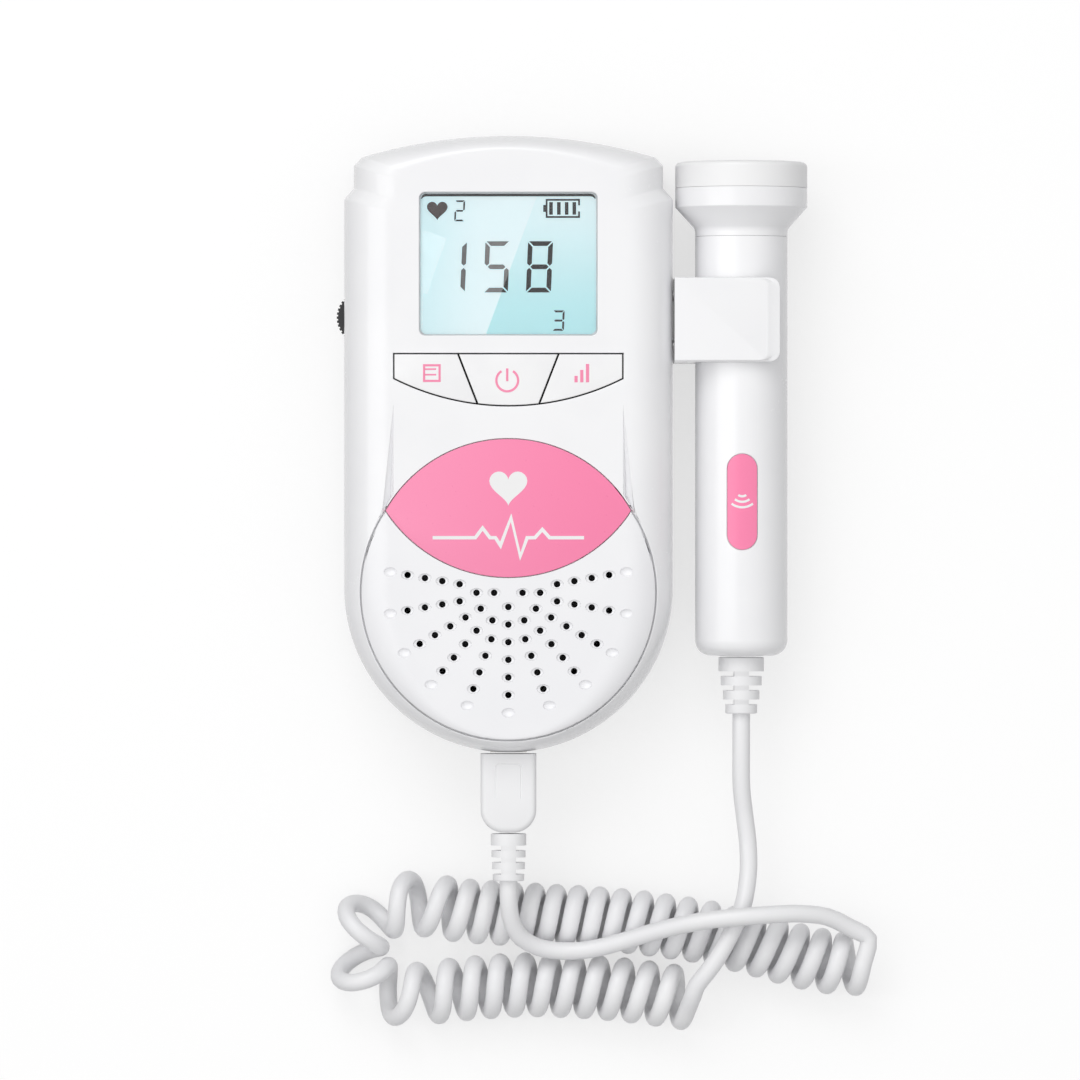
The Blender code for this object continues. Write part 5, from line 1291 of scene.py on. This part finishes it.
def ribbon(path, stroke):
    """The outline of a stroke along a path, with mitred corners."""
    ends = [Vector(point) for point in path]
    sides = ([], [])
    for i, point in enumerate(ends):
        before = (point - ends[i - 1]).normalized() if i else (ends[1] - point).normalized()
        after = (ends[i + 1] - point).normalized() if i + 1 < len(ends) else before
        left = Vector((-before.y - after.y, before.x + after.x)).normalized()
        reach = stroke / 2 / max(left.dot(Vector((-before.y, before.x))), STROKE_MITRE)
        sides[0].append(tuple(point - left * reach))
        sides[1].append(tuple(point + left * reach))
    return sides[0] + sides[1][::-1]


pink = Finish("label_pink")
across = pink.ramp(pink.axes(pink.place)[0], *LABEL_FADE)
label_pink = pink.set(
    Base_Color=pink.blend(across, (0.97, 0.285, 0.475, 1), (0.98, 0.235, 0.43, 1)),
    Roughness=0.26 + 0.05 * pink.noise(0.0007),
    Normal=pink.relief(pink.noise(0.006), 0.00001),
)
print_white = moulded("print_white", (0.88, 0.88, 0.88), (0.86, 0.86, 0.86), 0.4)
label_face = LABEL_TOP - PRINT_RISE
label = plate("label", lens_outline(), LABEL_LOW, label_face, LABEL_EDGE)
fit(label, label_pink, "main_unit", "label_pink", "label_plate")
label_marks = [heart(*LABEL_HEART), ribbon(LABEL_TRACE, LABEL_STROKE)]
label_print = sheet("label_print", label_marks, label_face - PRINT_RISE, LABEL_TOP)
fit(label_print, print_white, "main_unit", "housing_white")


# Display: a liquid-crystal glass on its backlight, with dark segments and icons, seen through
# a clear acrylic window that is glued in its pocket. The black line along its top is painted
# shadow of the pocket's upper edge, and a patch of painted glare lies over its left half.
FILM_LOW = 0.03105
FILM_TOP = 0.0312
INK_TOP = 0.03125
DIGIT_GAP = 0.00016
DIGIT_SLANT = math.tan(math.radians(2.5))
DIGIT_SEGMENTS = {1: "bc", 2: "abged", 3: "abgcd", 5: "afgcd", 8: "abcdefg"}
# Each figure: its number, its middle, its width, its height and its stroke
FIGURES = (
    (1, (-0.01194, 0.03856), 0.00576, 0.01144, 0.00134),
    (5, (-0.00254, 0.03856), 0.00566, 0.01144, 0.00134),
    (8, (0.00678, 0.03856), 0.00576, 0.01144, 0.00134),
    (2, (-0.01058, 0.05075), 0.00236, 0.00471, 0.00052),
    (3, (0.01091, 0.02687), 0.00267, 0.00458, 0.00058),
)
HEART_MIDDLE = (-0.01546, 0.0507)
HEART_SIZE = 0.0024
BATTERY_BOX = (0.00814, 0.04919, 0.01561, 0.05332)
BATTERY_STROKE = 0.00040
BATTERY_STUB = 0.0014
BATTERY_NUB = 0.00052
BATTERY_NUB_INSET = 0.0013
BATTERY_BARS = (0.0093, 0.01101, 0.01270, 0.01437)
BATTERY_BAR_WIDTH = 0.00078
BATTERY_BAR_INSET = 0.0007
PAINTED_TOP_SHADOW = 0.00062
DISPLAY_GLOW = 0.27
# Painted glare: a broad patch of painted reflection over the display's left half, up to a slanting
# line, and its fade
GLARE_SLANT = 0.370
GLARE_EDGE = (0.0008, 0.00083)
GLARE_RISE = (-0.020, -0.004)
PAINTED_GLARE_INK_RISE = (-0.013, -0.006)
FADE_TOP = WINDOW_Y + 0.016
FADE_LENGTH = 0.031
WINDOW_LOW = 0.0313
WINDOW_TOP = 0.0324
WINDOW_EDGE = 0.00015


def figure(number, middle, width, height, stroke):
    """A figure's lit segments as outlines with mitred ends, leaning a little to the right."""
    w, h, t = width / 2, height / 2, stroke
    tip = w - t / 2
    shapes = {
        "a": [(-w, h), (-w + t, h - t), (w - t, h - t), (w, h)],
        "d": [(-w, -h), (w, -h), (w - t, -h + t), (-w + t, -h + t)],
        "b": [(w, h), (w - t, h - t), (w - t, t / 2), (tip, 0), (w, t / 2)],
        "c": [(w, -h), (w, -t / 2), (tip, 0), (w - t, -t / 2), (w - t, -h + t)],
        "g": [(-tip, 0), (t - w, -t / 2), (w - t, -t / 2)],
    }
    shapes["g"] += [(-x, -y) for x, y in shapes["g"]]
    shapes["f"] = [(-x, y) for x, y in reversed(shapes["b"])]
    shapes["e"] = [(-x, y) for x, y in reversed(shapes["c"])]
    gap = min(DIGIT_GAP, stroke / 7)
    lit = [inset(shapes[segment], gap) for segment in DIGIT_SEGMENTS[number]]
    left, low = middle
    return [[(left + x + y * DIGIT_SLANT, low + y) for x, y in outline] for outline in lit]


def past_glare(finish, x, y):
    """0 under the painted glare patch and 1 past its slanting line."""
    return finish.ramp(x - GLARE_SLANT * (y - WINDOW_Y), *GLARE_EDGE)


glass = Finish("display_glass")
glass_x, glass_y, _ = glass.axes(glass.place)
lower = glass.ramp(FADE_TOP - glass_y, 0.0, FADE_LENGTH)
right_tone = glass.blend(lower, (0.72, 0.885, 0.915, 1), (0.445, 0.775, 0.815, 1))
# The left half is painted paler, and glows so, as a painted reflection of glare
left_edge = glass.ramp(glass_x, *GLARE_RISE)
painted_glare_tone = glass.blend(left_edge, (0.64, 0.86, 0.90, 1), (0.765, 0.91, 0.94, 1))
lit = glass.blend(past_glare(glass, glass_x, glass_y), painted_glare_tone, right_tone)
display_glass = glass.set(
    Base_Color=lit,
    Emission_Color=lit,
    Emission_Strength=DISPLAY_GLOW,
    Roughness=0.3 + 0.1 * glass.noise(0.0005),
)
film = plate("display_film", window_shape(), FILM_LOW, FILM_TOP)
fit(film, display_glass, "main_unit", "display_glass")
dress("lcd_module", display_glass)
dress("lcd_backlight", print_white)

ink = Finish("display_ink")
ink_x, ink_y, _ = ink.axes(ink.place)
# Under the painted glare the figures are painted grey as painted reflection, and black past it
ink_under_painted_glare = ink.blend(ink.ramp(ink_x, *PAINTED_GLARE_INK_RISE), (0.12, 0.125, 0.13, 1), (0.225, 0.215, 0.215, 1))
display_ink = ink.set(
    Base_Color=ink.blend(past_glare(ink, ink_x, ink_y), ink_under_painted_glare, (0.006, 0.006, 0.007, 1)),
    Roughness=0.45 + 0.05 * ink.noise(0.0004),
    Specular_IOR_Level=0.05,
)
matt = {"gloss": 0.45, "Specular_IOR_Level": 0.05}
icon_ink = moulded("icon_ink", (0.020, 0.020, 0.022), (0.012, 0.012, 0.014), **matt)
heart_ink = moulded("heart_ink", (0.085, 0.060, 0.060), (0.070, 0.050, 0.050), **matt)

figures = [outline for row in FIGURES[:3] for outline in figure(*row)]
icons = [outline for row in FIGURES[3:] for outline in figure(*row)]
left, low, right, high = BATTERY_BOX
icons += [
    bar(left, low, right, low + BATTERY_STROKE),
    bar(left, high - BATTERY_STROKE, right, high),
    bar(left, low, left + BATTERY_STROKE, high),
    bar(right - BATTERY_STROKE, low, right, low + BATTERY_STUB),
    bar(right - BATTERY_STROKE, high - BATTERY_STUB, right, high),
    bar(left - BATTERY_NUB, low + BATTERY_NUB_INSET, left, high - BATTERY_NUB_INSET),
]
half = BATTERY_BAR_WIDTH / 2
bar_low = low + BATTERY_BAR_INSET
bar_high = high - BATTERY_BAR_INSET
icons += [bar(middle - half, bar_low, middle + half, bar_high) for middle in BATTERY_BARS]
# A black strip under the window's top edge is painted shadow of the pocket's edge, in the icons'
# ink
crown = window_shape()[: len(window_shape()) // 2]
icons.append(crown + [(x, y - PAINTED_TOP_SHADOW) for x, y in reversed(crown)])
for name, outlines, finish in (
    ("display_figures", figures, display_ink),
    ("display_icons_and_painted_shadow", icons, icon_ink),
    ("display_heart", [heart(HEART_MIDDLE, HEART_SIZE)], heart_ink),
):
    fit(sheet(name, outlines, FILM_TOP, INK_TOP), finish, "main_unit", "display_glass")

acrylic = Finish("window_acrylic")
window_clear = acrylic.set(
    Base_Color=acrylic.blend(acrylic.noise(0.01), (1, 1, 1, 1), (0.985, 0.995, 1, 1)),
    Roughness=0.0 + 0.02 * acrylic.noise(0.002),
    Transmission_Weight=1.0,
    IOR=1.49,
    Specular_IOR_Level=0.12,
)
window = plate("display_window", window_shape(), WINDOW_LOW, WINDOW_TOP, WINDOW_EDGE)
fit(window, window_clear, "main_unit", "window_clear", "lcd_window")


# Keys: three caps of white ABS that share the panel under the display, over a black rubber mat
# that also serves as painted shade, so that the gaps between the caps read dark.
# Their pink marks are pad-printed: a list, the power sign and rising bars for the mode.
KEY_PROUD = 0.0004
KEY_BACK = 0.0304
KEY_EDGE = 0.0002
KEY_SWITCH_Y = 0.0145
PLUNGER_X = 0.0165
PLUNGER_RADIUS = 0.0018
PLUNGER_FOOT = 0.0292
MAT_LOW = 0.0284
MAT_TOP = 0.0294
MAT_RIM = 0.0008
PRINT_LIFT = 0.00004
KEY_ROOM = 0.0002
SPLIT_TOP = 0.0110
SPLIT_BOTTOM = 0.0067
KEY_EDGES = {
    "menu": ((-panel_side, -panel_side), (-SPLIT_TOP, -SPLIT_BOTTOM), -PLUNGER_X),
    "power": ((-SPLIT_TOP, -SPLIT_BOTTOM), (SPLIT_TOP, SPLIT_BOTTOM), 0.0),
    "mode": ((SPLIT_TOP, SPLIT_BOTTOM), (panel_side, panel_side), PLUNGER_X),
}
KEY_TONES = ((0.93, 0.93, 0.935), (0.885, 0.885, 0.895))
key_white = moulded("key_white", *KEY_TONES, 0.24, Coat_Weight=0.2, Coat_Roughness=0.15)
print_pink = moulded("print_pink", (0.93, 0.27, 0.44), (0.91, 0.25, 0.42), 0.4)


def frame_marks(left, low, right, high, stroke):
    """The four strokes of a square frame."""
    return [
        bar(left, low, right, low + stroke),
        bar(left, high - stroke, right, high),
        bar(left, low + stroke, left + stroke, high - stroke),
        bar(right - stroke, low + stroke, right, high - stroke),
    ]


def power_marks(middle, radius, stroke, gap=32, steps=48, foot=0.06):
    """A ring open at the top, with an upright stroke in the opening."""
    outer = arc(middle, radius, 90 + gap, 450 - gap, steps)
    inner = arc(middle, radius - stroke, 450 - gap, 90 + gap, steps)
    x, y = middle
    return [outer + inner, bar(x - stroke / 2, y - radius * foot, x + stroke / 2, y + radius)]


MENU_MARKS = frame_marks(-0.01859, 0.01342, -0.01473, 0.01730, 0.00048) + [
    bar(-0.01815, 0.01484, -0.01571, 0.01519),
    bar(-0.01815, 0.01605, -0.01571, 0.01640),
]
POWER_MARKS = power_marks((-0.00024, 0.01376), 0.00262, 0.00050)
MODE_MARKS = [
    bar(0.01440, 0.01335, 0.01510, 0.01475),
    bar(0.01565, 0.01335, 0.01635, 0.01605),
    bar(0.01690, 0.01335, 0.01760, 0.01735),
]
key_marks = {"menu": MENU_MARKS, "power": POWER_MARKS, "mode": MODE_MARKS}
key_top = CASE_DEPTH + KEY_PROUD
cap_top = key_top - PRINT_LIFT
for name, (left, right, plunger_x) in KEY_EDGES.items():
    body = name + "_key"
    outline = inset(key_outline(left, right), KEY_ROOM)
    cap = plate(name + "_cap", outline, KEY_BACK, cap_top, KEY_EDGE)
    place = [(plunger_x, KEY_SWITCH_Y)]
    plunger = rods(name + "_plunger", place, PLUNGER_RADIUS, PLUNGER_FOOT, KEY_BACK + GAP)
    carve(cap, plunger, operation="UNION")
    fit(cap, key_white, body, "key_white", "key_" + name)
    marks = sheet(name + "_print", key_marks[name], cap_top - PRINT_LIFT, key_top)
    fit(marks, print_pink, body, "label_pink")
# The mat is black rubber, and it also stands in for the shade in the gaps between the keys: painted
# shade
mat_rubber = moulded("mat_rubber", (0.016, 0.016, 0.017), (0.011, 0.011, 0.012), 0.7)
mat = plate("key_mat", inset(key_hole, -MAT_RIM), MAT_LOW, MAT_TOP)
plungers = [(row[2], KEY_SWITCH_Y) for row in KEY_EDGES.values()]
carve(mat, rods("mat_holes", plungers, PLUNGER_RADIUS + 2 * GAP, MAT_LOW - GAP, MAT_TOP + GAP))
fit(mat, mat_rubber, "main_unit", "plastic_black")


# Screws: four long self-tapping screws with a cross recess hold the case from the back, and
# two short ones hold the clip from inside the right wall.
SCREW_LENGTH = 0.017
SCREW_CROWN = 0.0007
CROSS_REACH = 0.0014
CROSS_WIDTH = 0.0006
CROSS_DEPTH = 0.0010
screw_steel = metal("screw_steel", (0.62, 0.62, 0.62), 0.24)
screw_profile = [
    (0, 0),
    (SCREW_HEAD_RADIUS - SCREW_CROWN, 0),
    (SCREW_HEAD_RADIUS - SCREW_CROWN / 4, SCREW_CROWN / 4),
    (SCREW_HEAD_RADIUS, SCREW_CROWN),
    (SCREW_HEAD_RADIUS, SCREW_HEAD_HEIGHT),
    (SCREW_RADIUS, SCREW_HEAD_HEIGHT),
    (SCREW_RADIUS, SCREW_LENGTH),
    (0, SCREW_LENGTH),
]
for number, (x, y) in enumerate(POST_PLACES, 1):
    screw = turned(f"case_fixing_{number}", screw_profile, (x, y, SCREW_SUNK), sides=40)
    low = SCREW_SUNK - OVERRUN
    high = SCREW_SUNK + CROSS_DEPTH
    half = CROSS_WIDTH / 2
    slot = block("slot", (x - CROSS_REACH, y - half, low), (x + CROSS_REACH, y + half, high))
    cross = block("cross", (x - half, y - CROSS_REACH, low), (x + half, y + CROSS_REACH, high))
    carve(screw, slot, cross)
    fit(screw, screw_steel, "main_unit", "screw_steel", f"case_screw_{number}")
for node in ("clip_screw_1", "clip_screw_2"):
    dress(node, screw_steel)


# Battery cover: a sliding door of the same white ABS in the back and the foot of the bottom
# end, with a tongue that snaps under the case and finger ridges to push it by.
TONGUE_HALF_WIDTH = 0.0032
GRIP_COUNT = 4
GRIP_PITCH = 0.0022
GRIP_WIDTH = 0.001
GRIP_DEPTH = 0.0006
GRIP_LENGTH = 0.014
GRIP_Y = -0.050
# The snap tongue's foot and tip, each with its span along y and its height span
TONGUE_BLOCKS = (
    ("tongue_foot", -0.0077, -0.0052, WALL / 2, 0.0036),
    ("tongue_tip", -0.0063, -0.0035, 0.0025, 0.0032),
)
COVER_EASE = 0.00015


def block_row(name, count, pitch, sides, finish):
    """A row of like blocks along y, as cutters."""
    width, length, height = sides
    blocks = Pattern(name, count=count, pitch=pitch, width=width, length=length, height=height)
    offset = blocks.vector(0.0, blocks.size["pitch"], 0.0)
    row = blocks.node("GeometryNodeMeshLine", 0, {"Count": blocks.size["count"], "Offset": offset})
    size = blocks.vector(blocks.size["width"], blocks.size["length"], blocks.size["height"])
    cube = blocks.node("GeometryNodeMeshCube", 0, {"Size": size})
    return blocks.grow(name, blocks.copies(row, cube), finish)


cover = carve(back_skin("battery_door"), cover_room("cover_keep", 0), operation="INTERSECT")
half = TONGUE_HALF_WIDTH
tongue = [block(name, (-half, y, z), (half, end, top)) for name, y, end, z, top in TONGUE_BLOCKS]
carve(cover, *tongue, operation="UNION")
grip_sides = (GRIP_LENGTH, GRIP_WIDTH, 2 * GRIP_DEPTH)
grips = block_row("grip_cutter", GRIP_COUNT, GRIP_PITCH, grip_sides, back_white)
carve(cover, moved(grips, 0, GRIP_Y + GRIP_WIDTH / 2, 0))
ease(cover, COVER_EASE, lambda spot: spot.z < WALL / 4 and abs(spot.x) < BAY_HALF_WIDTH - GAP)
fit(cover, back_white, "cover", "housing_white", "battery_cover")


# Probe clip: a springy U of white ABS on the right side, which two screws hold from inside.
# The handle snaps in from the right.
CLIP_LOW_Y = 0.0179
CLIP_HEIGHT = 0.0185
CLIP_PLATE = 0.0024
CLIP_REACH = 0.0083
CLIP_CORNER = 0.0022
CLIP_EDGE = 0.0004
CLIP_PAD_END = 0.0572
CLIP_PAD_CORNER = 0.0016
CLIP_PAD_RISE = 0.0009
CLIP_PAD_SLOPE = 0.0013
PROBE_X = 0.0511
HANDLE_RADIUS = 0.01015
clip_bore = HANDLE_RADIUS + GAP
clip_outer = clip_bore + CLIP_PLATE
clip_tip = PROBE_X + CLIP_REACH
clip_back = CASE_WIDTH / 2 + GAP
mouth = arc((PROBE_X, 0), clip_bore, -90, -270, 48)
clip_shape = [
    (clip_back, -clip_outer),
    (clip_tip, -clip_outer),
    (clip_tip, -clip_bore),
    *mouth,
    (clip_tip, clip_bore),
    (clip_tip, clip_outer),
    (clip_back, clip_outer),
]
clip = plate("spring_clip", clip_shape, CLIP_LOW_Y - GAP, CLIP_LOW_Y + CLIP_HEIGHT + GAP)
moved(laid(clip, (1, 0, 0), (0, 0, 1), (0, 1, 0)), 0, 0, PROBE_Z)


def clip_outline(tip, corner, inward=0.0, steps=8):
    """The clip from the front, square at the case and with two round corners at its tip."""
    low = CLIP_LOW_Y + inward
    high = CLIP_LOW_Y + CLIP_HEIGHT - inward
    tip -= inward
    right = arc((tip - corner, low + corner), corner, 270, 360, steps)
    right += arc((tip - corner, high - corner), corner, 0, 90, steps)
    return [(clip_back, low)] + right + [(clip_back, high)]


# A raised pad ends before the tip and slopes down to the arm's rim
rim_top = clip_outer - CLIP_PAD_RISE
part_edge = CLIP_EDGE / 3
slope_corner = CLIP_PAD_CORNER + CLIP_EDGE
clip_levels = [
    (clip_outline(clip_tip, CLIP_CORNER), rim_top - CLIP_EDGE),
    (clip_outline(clip_tip, CLIP_CORNER, part_edge), rim_top - part_edge),
    (clip_outline(clip_tip, CLIP_CORNER, CLIP_EDGE), rim_top),
    (clip_outline(CLIP_PAD_END + CLIP_PAD_SLOPE, slope_corner, CLIP_EDGE), rim_top + part_edge / 2),
    (clip_outline(CLIP_PAD_END + part_edge, CLIP_PAD_CORNER, CLIP_EDGE), clip_outer - part_edge),
    (clip_outline(CLIP_PAD_END - CLIP_EDGE, CLIP_PAD_CORNER, CLIP_EDGE), clip_outer),
]
clip_form = [(outline, PROBE_Z - height) for outline, height in reversed(clip_levels)]
clip_form += [(outline, PROBE_Z + height) for outline, height in clip_levels]
carve(clip, loft("clip_form", clip_form), operation="INTERSECT")
fit(clip, case_white, "main_unit", "housing_white", "probe_clip")


# Probe: a round handle of glossy white ABS with a pink inlaid label, and a horn that is pressed
# into it. A pale face cap closes the horn over the two crystals.
PROBE_LOW_Y = -0.0464
HANDLE_LENGTH = 0.0917
HANDLE_CORNER = 0.0035
HANDLE_BORE = 0.00835
HANDLE_FLOOR = 0.0030
HANDLE_EXIT_RADIUS = 0.0026
HORN_RADIUS = 0.0145
HORN_CONE = 0.0064
HORN_RIM = 0.0042
HORN_WALL = 0.0022
HORN_SPIGOT = 0.006
HORN_NECK = 0.0016
HORN_NECK_EASE = 0.0060
HORN_RIM_EASE = 0.0006
SEAM = 0.00006
FACE_THICKNESS = 0.0054
FACE_EDGE = 0.0011
PILL_WIDTH = 0.0065
PILL_LENGTH = 0.0209
PILL_LOW_Y = -0.0231
PILL_DEPTH = 0.0004
PILL_THICKNESS = 0.0002
WAVE_Y = -0.01005
WAVE_RADII = (0.0014, 0.0026, 0.0038)
WAVE_ARC = (-128, -52, 16)
WAVE_STROKE = 0.0005
probe_foot = (PROBE_X, PROBE_LOW_Y, PROBE_Z)
horn_low = HANDLE_LENGTH + GAP
horn_high = horn_low + HORN_CONE + HORN_RIM
face_top = horn_high + GAP + FACE_THICKNESS


def softened(profile, radius, steps=6):
    """A profile with its corners, apart from its ends, rounded off."""
    path = [profile[0]]
    for before, here, after in zip(profile, profile[1:], profile[2:]):
        path += bend(before, here, after, radius, steps)
    return path + [profile[-1]]


def pill_outline(grow=0.0):
    """The pill-shaped label's outline, or one that lies a little outside it."""
    radius = PILL_WIDTH / 2 + grow
    run = (PILL_LENGTH - PILL_WIDTH) / 2
    middle = PILL_LOW_Y + PILL_LENGTH / 2
    upper = arc((PROBE_X, middle + run), radius, 0, 180, 24)
    return upper + arc((PROBE_X, middle - run), radius, 180, 360, 24)


def pill_band(name, inner, outer, *outlines):
    """Flat outlines, curved round the handle between two radii."""
    low = PILL_LOW_Y - PROBE_LOW_Y - OVERRUN / 2
    high = low + PILL_LENGTH + OVERRUN
    profile = [(outer, high), (outer, low), (inner, low), (inner, high)]
    band = turned(name, profile, probe_foot, "Y", 192, ring=True)
    limit = sheet(name + "_outline", outlines, PROBE_Z, PROBE_Z + outer + OVERRUN)
    return carve(band, limit, operation="INTERSECT")


handle_top = horn_low - SEAM
handle_profile = [
    (HANDLE_RADIUS, handle_top),
    *arc((HANDLE_RADIUS - HANDLE_CORNER, HANDLE_CORNER), HANDLE_CORNER, 0, -90, 14),
    (HANDLE_EXIT_RADIUS, 0),
    (HANDLE_EXIT_RADIUS, HANDLE_FLOOR),
    (HANDLE_BORE, HANDLE_FLOOR),
    (HANDLE_BORE, handle_top),
]
handle = turned("probe_grip", handle_profile, probe_foot, "Y", 96, ring=True)
recess_floor = HANDLE_RADIUS - PILL_DEPTH
recess = pill_outline(GAP / 2)
carve(handle, pill_band("pill_recess", recess_floor, HANDLE_RADIUS + OVERRUN, recess))
fit(handle, case_white, "probe", "housing_white", "probe_handle")
pill_low = recess_floor + GAP
pill_face = pill_low + PILL_THICKNESS
pill = pill_band("probe_pill", pill_low, pill_face, pill_outline())
fit(pill, label_pink, "probe", "label_pink", "probe_label")
waves = [ribbon(arc((PROBE_X, WAVE_Y), radius, *WAVE_ARC), WAVE_STROKE) for radius in WAVE_RADII]
wave_marks = pill_band("pill_print", pill_face - PRINT_RISE, pill_face + PRINT_RISE, *waves)
fit(wave_marks, print_white, "probe", "housing_white")

horn_shoulder = horn_low + HORN_CONE
horn_bend = (HORN_RADIUS - GAP, horn_shoulder - GAP)
horn_rim = [(HORN_RADIUS, horn_high), (HORN_RADIUS, horn_shoulder), horn_bend]
horn_neck = [horn_bend, (HANDLE_RADIUS, horn_low + HORN_NECK), (HANDLE_RADIUS, horn_low)]
horn_rest = [
    (HANDLE_BORE - GAP, horn_low),
    (HANDLE_BORE - GAP, horn_low - HORN_SPIGOT),
    (HANDLE_BORE - HORN_WALL, horn_low - HORN_SPIGOT),
    (HANDLE_BORE - HORN_WALL, horn_low),
    (HORN_RADIUS - HORN_WALL, horn_shoulder),
    (HORN_RADIUS - HORN_WALL, horn_high),
]
horn_wall = softened(horn_rim, HORN_RIM_EASE)[:-1] + softened(horn_neck, HORN_NECK_EASE, 14)
horn = turned("probe_neck", horn_wall + horn_rest, probe_foot, "Y", 96, ring=True)
fit(horn, case_white, "probe", "housing_white", "probe_horn")
face_foot = horn_high + SEAM
face_profile = [
    (0, face_top),
    *arc((HORN_RADIUS - FACE_EDGE, face_top - FACE_EDGE), FACE_EDGE, 90, 0, 10),
    (HORN_RADIUS, face_foot),
    (0, face_foot),
]
face_cap = turned("probe_cap", face_profile, probe_foot, "Y", 96)
face_white = moulded("face_white", (0.91, 0.91, 0.912), (0.895, 0.895, 0.90), 0.3)
fit(face_cap, face_white, "probe", "face_white", "probe_face")
crystal = moulded("crystal_ceramic", (0.62, 0.56, 0.45), (0.56, 0.50, 0.40), 0.4)
dress("crystal_transmit", crystal)
dress("crystal_receive", crystal)
dress("transducer_backing", part_black)


# Plug: a flat overmoulded shell of white PVC, with a plated tongue and a grip mark sunk in its top.
# Both ends of the lead leave through slotted strain reliefs of the same PVC.
PLUG_FACE_Y = -0.0678
PLUG_WIDTH = 0.0122
PLUG_HEIGHT = 0.0082
PLUG_LENGTH = 0.0172
PLUG_CORNER = 0.0050
PLUG_EDGE = 0.0012
MARK_WIDTH = 0.0056
MARK_TOP_Y = -0.0700
MARK_LOW_Y = -0.0776
MARK_STROKE = 0.00035
MARK_CORNER = 0.0010
RELIEF_RIBS = 3
RELIEF_SLOT = 0.0011
RELIEF_BRIDGE = 0.0016
RELIEF_EASE = 0.0003
# Each relief's radius at the lead's exit, its radius at the far end, and its length
PLUG_RELIEF = (0.0039, 0.00345, 0.0104)
PROBE_RELIEF = (0.0050, 0.0035, 0.0124)
plug_white = moulded("plug_white", (0.87, 0.87, 0.88), (0.85, 0.85, 0.86), 0.34, 0.0005, 0.000008)

plug_low = PLUG_FACE_Y - PLUG_LENGTH
plug_half = PLUG_WIDTH / 2
plug_shape = (
    [(plug_half, PLUG_FACE_Y), (-plug_half, PLUG_FACE_Y)]
    + arc((-plug_half + PLUG_CORNER, plug_low + PLUG_CORNER), PLUG_CORNER, 180, 270, 16)
    + arc((plug_half - PLUG_CORNER, plug_low + PLUG_CORNER), PLUG_CORNER, 270, 360, 16)
)
plug = plate("plug_body", plug_shape, PLUG_Z - PLUG_HEIGHT / 2, PLUG_Z + PLUG_HEIGHT / 2)
ease(plug, PLUG_EDGE, lambda spot: spot.y < PLUG_FACE_Y - GAP, 5)
half = MARK_WIDTH / 2
mark_line = [
    (half, MARK_LOW_Y),
    *arc((half - MARK_CORNER, MARK_TOP_Y - MARK_CORNER), MARK_CORNER, 0, 90, 8),
    *arc((-half + MARK_CORNER, MARK_TOP_Y - MARK_CORNER), MARK_CORNER, 90, 180, 8),
    (-half, MARK_LOW_Y),
]
mark_path = [Vector((x, y, PLUG_Z + PLUG_HEIGHT / 2)) for x, y in mark_line]
carve(plug, tube("plug_mark", mark_path, MARK_STROKE / 2, 8))
fit(plug, plug_white, "plug", "plug_white", "plug_shell")
dress("plug_tongue", nickel)


def strain_relief(name, start_radius, end_radius, length, top):
    """A tapered sleeve with short slots cut in from both sides, so that it bends with the lead."""
    step = length / (RELIEF_RIBS + 1)
    profile = [(0, 0), (start_radius, 0)]
    for number in range(1, RELIEF_RIBS + 1):
        radius = start_radius + (end_radius - start_radius) * (number - 1) / RELIEF_RIBS
        next_radius = start_radius + (end_radius - start_radius) * number / RELIEF_RIBS
        profile += [(radius, -number * step), (next_radius, -number * step - RELIEF_SLOT)]
    profile += [(end_radius, -length), (0, -length)]
    sleeve = turned(name, softened(profile, RELIEF_EASE, 3), top, "Y", 48)
    x, y, z = top
    away = start_radius + RELIEF_BRIDGE
    cut_sides = (2 * start_radius, RELIEF_SLOT, 3 * start_radius)
    cuts = []
    for side in (-1, 1):
        row = block_row(name + "_cuts", RELIEF_RIBS, -step, cut_sides, plug_white)
        cuts.append(moved(row, x + side * away, y - step - RELIEF_SLOT / 2, z))
    return carve(sleeve, *cuts)


plug_relief = strain_relief("plug_sleeve", *PLUG_RELIEF, (0, plug_low - GAP, PLUG_Z))
fit(plug_relief, plug_white, "plug", "relief_white", "plug_relief")
probe_relief = strain_relief("probe_sleeve", *PROBE_RELIEF, (PROBE_X, PROBE_LOW_Y - GAP, PROBE_Z))
fit(probe_relief, plug_white, "probe", "relief_white", "probe_relief")
